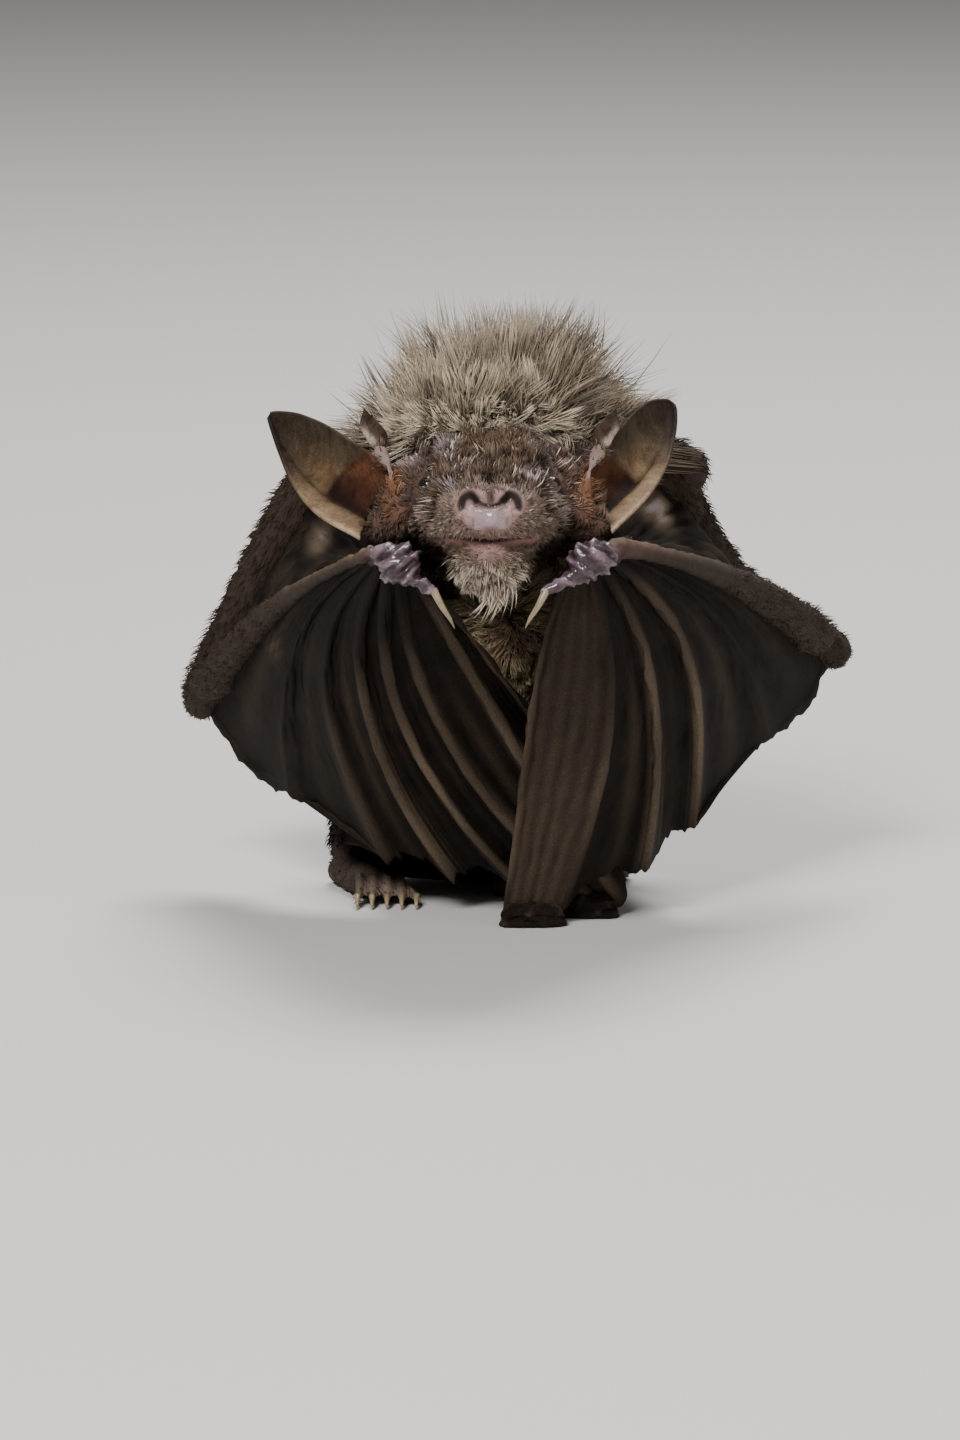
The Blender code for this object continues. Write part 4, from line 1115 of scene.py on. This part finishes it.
# ---------------------------------------------------------------- the coat
# Soft hair all over but the nose, wrists, toes and wings: long, loose and tufted on the nape and back,
# short and dark on the head, pale and bristly on the chin. Tufts are rooted in the skin and lie along it.
class Coat:
    """What the skin says about the hair at each of its points, and the growing of tufts from it."""

    ROOT_DEPTH = 0.12
    OVER_FLOOR = 0.08
    PATCH = 0.003  # the breadth of a tuft where the skin is laid out flat
    TONES = (0.004, 0.9)  # the darkest and the palest

    def __init__(self, mesh, reach):
        mesh.calc_loop_triangles()
        self.corners = read(mesh.loop_triangles, "vertices", 3, int)
        self.unwrap = read(mesh.uv_layers[0].data, "uv", 2)[read(mesh.loop_triangles, "loops", 3, int)]
        self.spots, self.ways, self.reach = points_of(mesh), normals_of(mesh), reach
        a, b, c = (self.spots[self.corners[:, k]] for k in range(3))
        self.area = norm(np.cross(b - a, c - a)) / 2

    def grow(self, name, where, count, girth, seed, clump=0.6, lock=26, droop=0.35, stray=0.16, toss=0.12,
             bends=(0.36, 0.72), slot="face_fur", **own):
        """One piece of the coat: tufts rooted where the skin's points say, each a tapered three-sided blade.

        A lock is a group of tufts whose tips draw together, and locks are tossed about more or less. The
        length, the lift in degrees, the lie and the tones are the coat's usual ones unless they are given.
        """
        rng = np.random.default_rng(seed)
        look = {**self.usual, **own}
        crowd = self.area * where[self.corners].mean(axis=1)
        pick = np.searchsorted(np.cumsum(crowd), np.sort(rng.random(count)) * crowd.sum())
        pick = np.minimum(pick, len(crowd) - 1)
        part = rng.random((count, 2))
        part = np.where((part.sum(1) > 1)[:, None], 1 - part, part)
        part = np.column_stack([1 - part.sum(1), part])
        corners = self.corners[pick]

        def here(values):
            values = np.broadcast_to(values, (len(self.spots),) + np.shape(values)[1:])
            return (values[corners] * part.reshape(count, 3, *[1] * (values.ndim - 1))).sum(axis=1)

        root, up, flat = here(self.spots), unit(here(self.ways)), here(look["lie"])
        flat = unit(flat - up * (flat * up).sum(1)[:, None])
        guides = rng.choice(count, max(count // lock, 1), replace=False)
        tree = KDTree(len(guides))
        for i, guide in enumerate(guides):
            tree.insert(root[guide], i)
        tree.balance()
        leader = guides[[tree.find(spot)[1] for spot in root]]
        angle = np.radians(here(look["lift"]) + rng.normal(0, 6, count))[:, None]
        long = here(look["length"]) * rng.uniform(0.72, 1.12, count)
        long = long * rng.normal(1, 0.9 * toss, count)[leader].clip(0.6, 1.3)
        start = up * np.sin(angle) + flat * np.cos(angle) + rng.normal(0, stray, (count, 3))
        start = unit(start + rng.normal(0, toss, (count, 3))[leader])
        curve = (flat - start) * droop + rng.normal(0, 1.6 * toss, (count, 3))[leader]
        t = np.array((0, *bends, 1.0))
        path = root[:, None] + long[:, None, None] * (
            start[:, None] * t[None, :, None] + curve[:, None] * (0.5 * t**2)[None, :, None])
        pull = (clump * t**1.4)[None, :, None] * rng.uniform(0.6, 1.0, (count, 1, 1))
        pull *= dome(norm(root[leader] - root), 0, 0.3 * long)[:, None, None]
        path += (path[leader] - path) * pull
        beyond = np.maximum((path[:, -1] - self.reach) / np.maximum(path[:, -1] - root, 0.01), 0).max(axis=1)
        path = root[:, None] + (path - root[:, None]) * (1 - np.minimum(beyond, 0.8))[:, None, None]
        path[..., 2] = np.maximum(path[..., 2], self.OVER_FLOOR)
        path[:, 0] = root - up * self.ROOT_DEPTH

        side_way = unit(np.cross(start, rng.normal(size=(count, 3))))
        other_way = np.cross(start, side_way)
        stout = girth * rng.uniform(0.75, 1.2, count) / 2
        turns = np.arange(3) * math.tau / 3
        rings = len(t) - 1
        points = 3 * rings + 1
        ring = (side_way[:, None] * np.cos(turns)[None, :, None]
                + other_way[:, None] * np.sin(turns)[None, :, None])
        taper = np.sqrt(1 - t[:-1] ** 1.6)
        spots = path[:, :rings, None] + ring[:, None] * (stout[:, None] * taper)[..., None, None]
        spots = np.concatenate([spots.reshape(count, 3 * rings, 3), path[:, rings:]], axis=1).reshape(-1, 3)
        shade = rng.normal(1, 0.13, (count, 1, 1))
        shade = shade * (1 + 0.22 * rng.normal(size=(count, 1, 1))[leader]).clip(0.5, 1.7)
        low, high = here(look["low"]), here(look["high"])
        tones = (low[:, None] + (high - low)[:, None] * (t**1.15)[None, :, None]) * shade
        tones = np.repeat(np.clip(tones, *self.TONES), [3] * rings + [1], axis=1).reshape(-1, 3)
        corner_of_patch = np.array([(k, t[r]) for r in range(rings) for k in (-0.5, 0, 0.5)] + [(0, 1.0)])
        patch = (self.unwrap[pick] * part[..., None]).sum(axis=1)
        unwrap = (patch[:, None] + (corner_of_patch - (0, 0.5)) * self.PATCH).reshape(-1, 2)

        faces = [(0, 2, 1)]  # the root, then three strips of faces up to the tip
        for r in range(0, 3 * rings, 3):
            for k in range(3):
                foot = (r + k, r + (k + 1) % 3)
                faces.append(foot + ((points - 1,) if r + 4 == points else (foot[1] + 3, foot[0] + 3)))
        corners_each = np.array([i for face in faces for i in face])
        firsts = np.cumsum([0] + [len(face) for face in faces[:-1]])
        each = np.arange(count)[:, None]
        loops = (corners_each[None] + points * each).ravel()
        mesh = bpy.data.meshes.new(name)
        mesh.vertices.add(len(spots))
        mesh.loops.add(len(loops))
        mesh.polygons.add(len(faces) * count)
        mesh.vertices.foreach_set("co", spots.astype(np.float32).ravel())
        mesh.loops.foreach_set("vertex_index", loops)
        mesh.polygons.foreach_set("loop_start", (firsts[None] + len(corners_each) * each).ravel())
        mesh.update(calc_edges=True)
        mesh.uv_layers.new(name="OFBake").data.foreach_set("uv", unwrap[loops].astype(np.float32).ravel())
        mark(mesh, "tone", np.column_stack([tones, np.ones(len(tones))]))
        finish_piece(new_piece(name, mesh), hair.material, slot)


hair = Recipe("hair")
mottle, fleck = hair.noise(0.8, 4.0, 0.6), hair.noise(9.0, 2.0, 0.6)
hair.tint(mottle, 0.35, 0.7, 0.5, (0.70, 0.66, 0.62))
hair.tint(fleck, 0.45, 0.7, 0.35, (1.35, 1.3, 1.25))
hair.finish(Roughness=hair.spread(fleck, 0.3, 0.7, 0.5, 0.72), Specular_IOR_Level=0.12)

FURTHEST = np.array(TO_ROW.inverted() @ Vector(cad_box[1])) + (0.6, 0.9, 0.8)  # no tuft ends beyond it
coat = Coat(skin.data, FURTHEST)
x, y, z = coat.spots.T
dorsal = np.clip(coat.ways @ np.array((0, 0.45, 0.9)), -1, 1)
torso, head, muzzle, jaw, upper_arm, forearm, thigh, shank, tail, foot = (
    of_bone(owner, {part: 1.0}) for part in
    ("torso", "head", "muzzle", "jaw", "upper_arm", "forearm", "thigh", "shank", "tail", "foot"))
faced = head + muzzle + jaw
shaggy = evened(skin.data, torso[:, None], 16)[:, 0] * (1 - faced)  # thins out toward the limbs
nape = shaggy * below(y, 25.5, 0.8)
collar = nape * below(y, 19.6, 0.5)
back_part = shaggy * above(y, 25.5, 0.8) * above(dorsal, -0.15, 0.1)
belly_part = shaggy * below(dorsal, -0.1, 0.1) * above(y, 19, 0.8)
chest = belly_part * below(y, 29, 1)
throat = torso * below(y, 21.5, 0.6) * below(dorsal, -0.05, 0.12)
under_cheek = below(z, 26.9, 0.3) * above(abs(x), 2.2, 0.25) * below(y, 18, 0.5)
beside_ears = above(abs(x), 4.6, 0.4) * below(y, 21.5, 0.6)
beside = clamp(lance + temple)
brow = head * np.exp(-((y - 11.5) / 2.2) ** 2 - (x / 2.6) ** 2) * above(z, 30.5, 0.4)
cheek = np.exp(-((abs(x) - 4.2) / 1.5) ** 2 - ((z - 28.0) / 1.8) ** 2) * window(y, 5, 14.5, 0.6)
ripple = np.sin(2.6 * x + 1.9 * np.sin(1.7 * y)) * np.sin(2.2 * y + 1.5 * np.sin(2.1 * x + z))
# pale patches in the head's fur: partly pale hair tips, partly painted highlight
pale_and_sheen_spots = above(ripple, 0.45, 0.1)
# the furrows beside the ears and above the nose hold shorter hair and painted shade
furrow = dome(abs(x) - 5.0 + 0.42 * (z - 28.2), 0, 0.42) * window(z, 27.6, 33, 0.3) * window(y, 9, 16, 0.4)
furrow = np.maximum(furrow, dome(x, 0, 0.26) * window(z, 30.3, 32.1, 0.15) * below(y, 8.2, 0.4))
# painted shade on the throat below the chin and under the cheeks
shade_under_jaw = clamp(throat * (1 - above(y, 19, 0.5)) + under_cheek * (1 - muzzle))
# the pale lilac patches on the face's fur are painted highlights
LILAC_SPOTS = [  # how far across and up each is, and half its width
    (-3.0, 32.4, 0.9), (3.4, 32.7, 0.9), (2.6, 30.9, 0.5), (3.8, 29.8, 0.5), (-2.4, 30.6, 0.5),
    (4.6, 28.6, 0.7), (-5.2, 31.3, 1.0), (5.4, 31.8, 0.8),
]
lilac = sum(np.exp(-(((x - across) / wide) ** 2 + ((z - up) / (0.6 * wide)) ** 2) ** 2)
            for across, up, wide in LILAC_SPOTS)


def of_skin(table, otherwise=0.0, times=10):
    values = of_bone(owner, table, otherwise)
    return evened(skin.data, values.reshape(len(values), -1), times).reshape(values.shape)


length = of_skin({"torso": 5.0, "head": 1.0, "muzzle": 0.5, "jaw": 0.8, "upper_arm": 0.95, "forearm": 0.42,
                  "thigh": 1.5, "shank": 0.8, "tail": 0.5, "foot": 0.3, "wrist": 0.25}, 0, 14)
length *= np.where(torso > 0, 0.70 + 0.30 * dorsal, 1) * (1 + 0.06 * nape)
for much, where in (
    (0.72, beside_ears), (0.62, throat), (0.4, under_cheek * (head + jaw + torso)), (0.45, chest),
    (0.5, torso * above(abs(x - 2.2), 6.0, 0.5) * below(z, 26, 1)), (0.55, torso * below(z, 8.5, 0.8)),
):
    length *= 1 - much * where
length += (0.75 - length) * clamp(1.5 * beside) * faced
length *= 1 - 0.35 * furrow * head
length *= 1 - 0.55 * about_eyes(coat.spots, 1.5)
lift = of_skin({"torso": 48, "head": 30, "muzzle": 30, "jaw": 35, "upper_arm": 16, "forearm": 20,
                "thigh": 35}, 22)
lift = (lift + 14 * nape + 16 * nape * below(y, 19.5, 0.8)) * (1 - 0.7 * beside_ears)
low = layered(
    of_skin({"torso": (0.055, 0.041, 0.032), "head": (0.022, 0.013, 0.009), "muzzle": (0.12, 0.078, 0.06),
             "jaw": (0.16, 0.11, 0.085)}, (0.016, 0.011, 0.009)),
    # the chest's dark tones are raised as painted light where the chin's shadow falls
    ((0.045, 0.034, 0.028), back_part), ((0.36, 0.26, 0.17), chest),
    ((0.05, 0.028, 0.02), 0.7 * temple), ((0.11, 0.05, 0.024), 0.9 * lance),
    ((0.010, 0.006, 0.005), 0.9 * furrow), ((0.016, 0.011, 0.009), 0.85 * shade_under_jaw),
)
high = layered(
    of_skin({"torso": (0.335, 0.270, 0.195), "head": (0.115, 0.070, 0.043), "muzzle": (0.34, 0.26, 0.21),
             "jaw": (0.30, 0.23, 0.17), "upper_arm": (0.085, 0.055, 0.034), "forearm": (0.070, 0.045, 0.029),
             "thigh": (0.11, 0.080, 0.055), "shank": (0.065, 0.045, 0.031), "tail": (0.06, 0.042, 0.03)},
            (0.03, 0.022, 0.018)),
    ((0.24, 0.180, 0.120), lit_arm), ((0.20, 0.155, 0.115), back_part),
    # the belly's fur is pale; the chest's tips are far paler still, painted light where the chin shades it
    ((0.46, 0.35, 0.23), belly_part * below(y, 33, 1.2)), ((0.90, 0.70, 0.46), chest),
    ((0.17, 0.105, 0.075), 0.7 * temple), ((0.30, 0.145, 0.065), 0.9 * lance),
    ((0.50, 0.41, 0.30), 0.8 * collar), ((0.20, 0.115, 0.062), 0.8 * brow), ((0.40, 0.30, 0.235), 0.85 * cheek),
    ((0.36, 0.28, 0.235), 0.6 * pale_and_sheen_spots * head * (1 - brow)), ((0.024, 0.014, 0.010), 0.9 * furrow),
    ((0.060, 0.042, 0.032), 0.85 * shade_under_jaw), ((0.50, 0.41, 0.41), 0.85 * lilac * (head + muzzle)),
)
coat.usual = {"length": length, "lift": lift, "lie": lie, "low": low, "high": high}


def tipped(colour):
    """The same tips wherever the tuft is rooted."""
    return blend(high, colour, np.ones(len(high)))


# the nape and its collar
on_left = above(x, 0.2, 0.25)
clear_of_ears = 1 - above(abs(x), 5.0, 0.15) * below(y, 18.6, 0.3)
nape = nape * clear_of_ears
for side, where, seed in (("left", on_left, 21), ("right", 1 - on_left, 22)):
    coat.grow("coat_nape_" + side, nape * where, 11800, 0.11, seed, clump=0.78, lock=17, stray=0.22,
              toss=0.24, droop=0.15, slot="fur")
coat.grow("coat_nape_fine", nape, 14000, 0.07, 30, length=0.8 * length, clump=0.3, lock=9, stray=0.24,
          toss=0.2, droop=0.1, bends=(0.5,), slot="fur")
standing = torso * dome(x, 1.5, 3.6, 4) * window(y, 22.5, 30, 0.8) * above(z, 29, 1)
coat.grow("coat_nape_tall", standing, 900, 0.085, 34, length=7.2, lift=76, high=tipped((0.20, 0.155, 0.12)),
          clump=0.55, lock=7, stray=0.12, toss=0.16, droop=0.1, slot="fur")
fringe = torso * window(y, 17.6, 20.6, 0.25) * above(z, 28.5, 0.5) * clear_of_ears
fringe *= 1 - above(abs(x), 5.2, 0.2)
forward = np.column_stack([0.25 * x, -1 + 0 * x, 0.45 + 0 * x])
coat.grow("coat_collar", fringe, 3400, 0.10, 33, length=2.3, lift=34, lie=forward,
          low=blend(low, (0.19, 0.155, 0.12), fringe), high=tipped((0.60, 0.51, 0.39)),
          clump=0.7, lock=15, stray=0.2, toss=0.3, droop=0.1, slot="fur")

# the back and the belly
left_back = above(x, 2.2, 0.3)
for side, where, seed in (("left", left_back, 23), ("right", 1 - left_back, 24)):
    coat.grow("coat_back_" + side, back_part * where, 7000, 0.17, seed, stray=0.2, toss=0.2, slot="fur")
coat.grow("coat_belly", belly_part, 4400, 0.16, 25, toss=0.2, slot="fur")

# the head
eyes_clear = 1 - about_eyes(coat.spots, 0.92)
openings = hollow_of(coat.spots)
crown = head * eyes_clear * (1 + beside) * (1 - clamp(1.5 * openings))
crown *= 1 - clamp(0.2 * lance + 0.9 * bare_fold)
coat.grow("coat_head", crown, 18800, 0.075, 26, clump=0.72, lock=17, stray=0.2, toss=0.25, bends=(0.5,))
flecked = faced * (0.15 + pale_and_sheen_spots) * eyes_clear
flecked *= 1 - clamp(1.5 * openings + lance + bare_fold + brow * 0.5)
flecked *= (1 - clamp(2 * (pad + curl + lips))) * (1 - shade_under_jaw) * below(abs(x), 4.9, 0.3) * above(z, 27, 0.3)
coat.grow("coat_head_tips", flecked, 430, 0.10, 35, length=0.42 + 0.34 * head, lift=34, low=high,
          high=tipped((0.52, 0.43, 0.36)), clump=0.9, lock=6, stray=0.12, toss=0.3, bends=(0.5,))
nose_lobe = np.exp(-(x / 1.6) ** 4 - ((z - 30.0) / 0.62) ** 4) * below(y, 7.2, 0.3)
bare = clamp(1.6 * pad + 1.5 * lips + 1.4 * curl + 5 * openings + 1.3 * nose_lobe)
snout = (muzzle + jaw) * (1 - bare) * (0.35 + 0.65 * above(abs(x), 1.9, 0.3))
chin = jaw * below(z, 26.3, 0.25) * below(y, 9.5, 0.5)
coat.grow("coat_muzzle", snout * eyes_clear * (1 - chin), 13000, 0.05, 27, clump=0.4, lock=5, stray=0.2,
          toss=0.25, bends=(0.5,))
outward = np.column_stack([0.55 * x, -0.50 + 0 * x, -1.2 + 0 * x])
bristles = tipped((0.62, 0.54, 0.43))
coat.grow("coat_chin", chin * below(abs(x), 1.9, 0.25), 1500, 0.055, 31,
          length=0.6 + 0.4 * dome(x, 0.3, 1.3), lift=58, lie=outward, high=bristles, clump=0.82, lock=9,
          stray=0.10, toss=0.3)
coat.grow("coat_beard", chin * dome(x, 0.7, 0.6) * below(z, 25.6, 0.2), 60, 0.08, 32, length=1.9, lift=40,
          lie=outward, high=bristles * 1.15, clump=0.85, lock=16, stray=0.06, toss=0.14)

# the limbs
coat.grow("coat_arms", (upper_arm + 1.3 * forearm) * above(length, 0.26, 0.03), 15500, 0.075, 28, clump=0.5,
          lock=9, stray=0.14, bends=(0.5,))
coat.grow("coat_legs", thigh + shank + 0.3 * tail + 0.3 * foot, 9000, 0.09, 29, clump=0.4, lock=8,
          bends=(0.5,))

# the skin stays in millimetres until its hair is rooted
skin.data.transform(TO_ROW)
only(skin)
bpy.ops.object.shade_smooth()
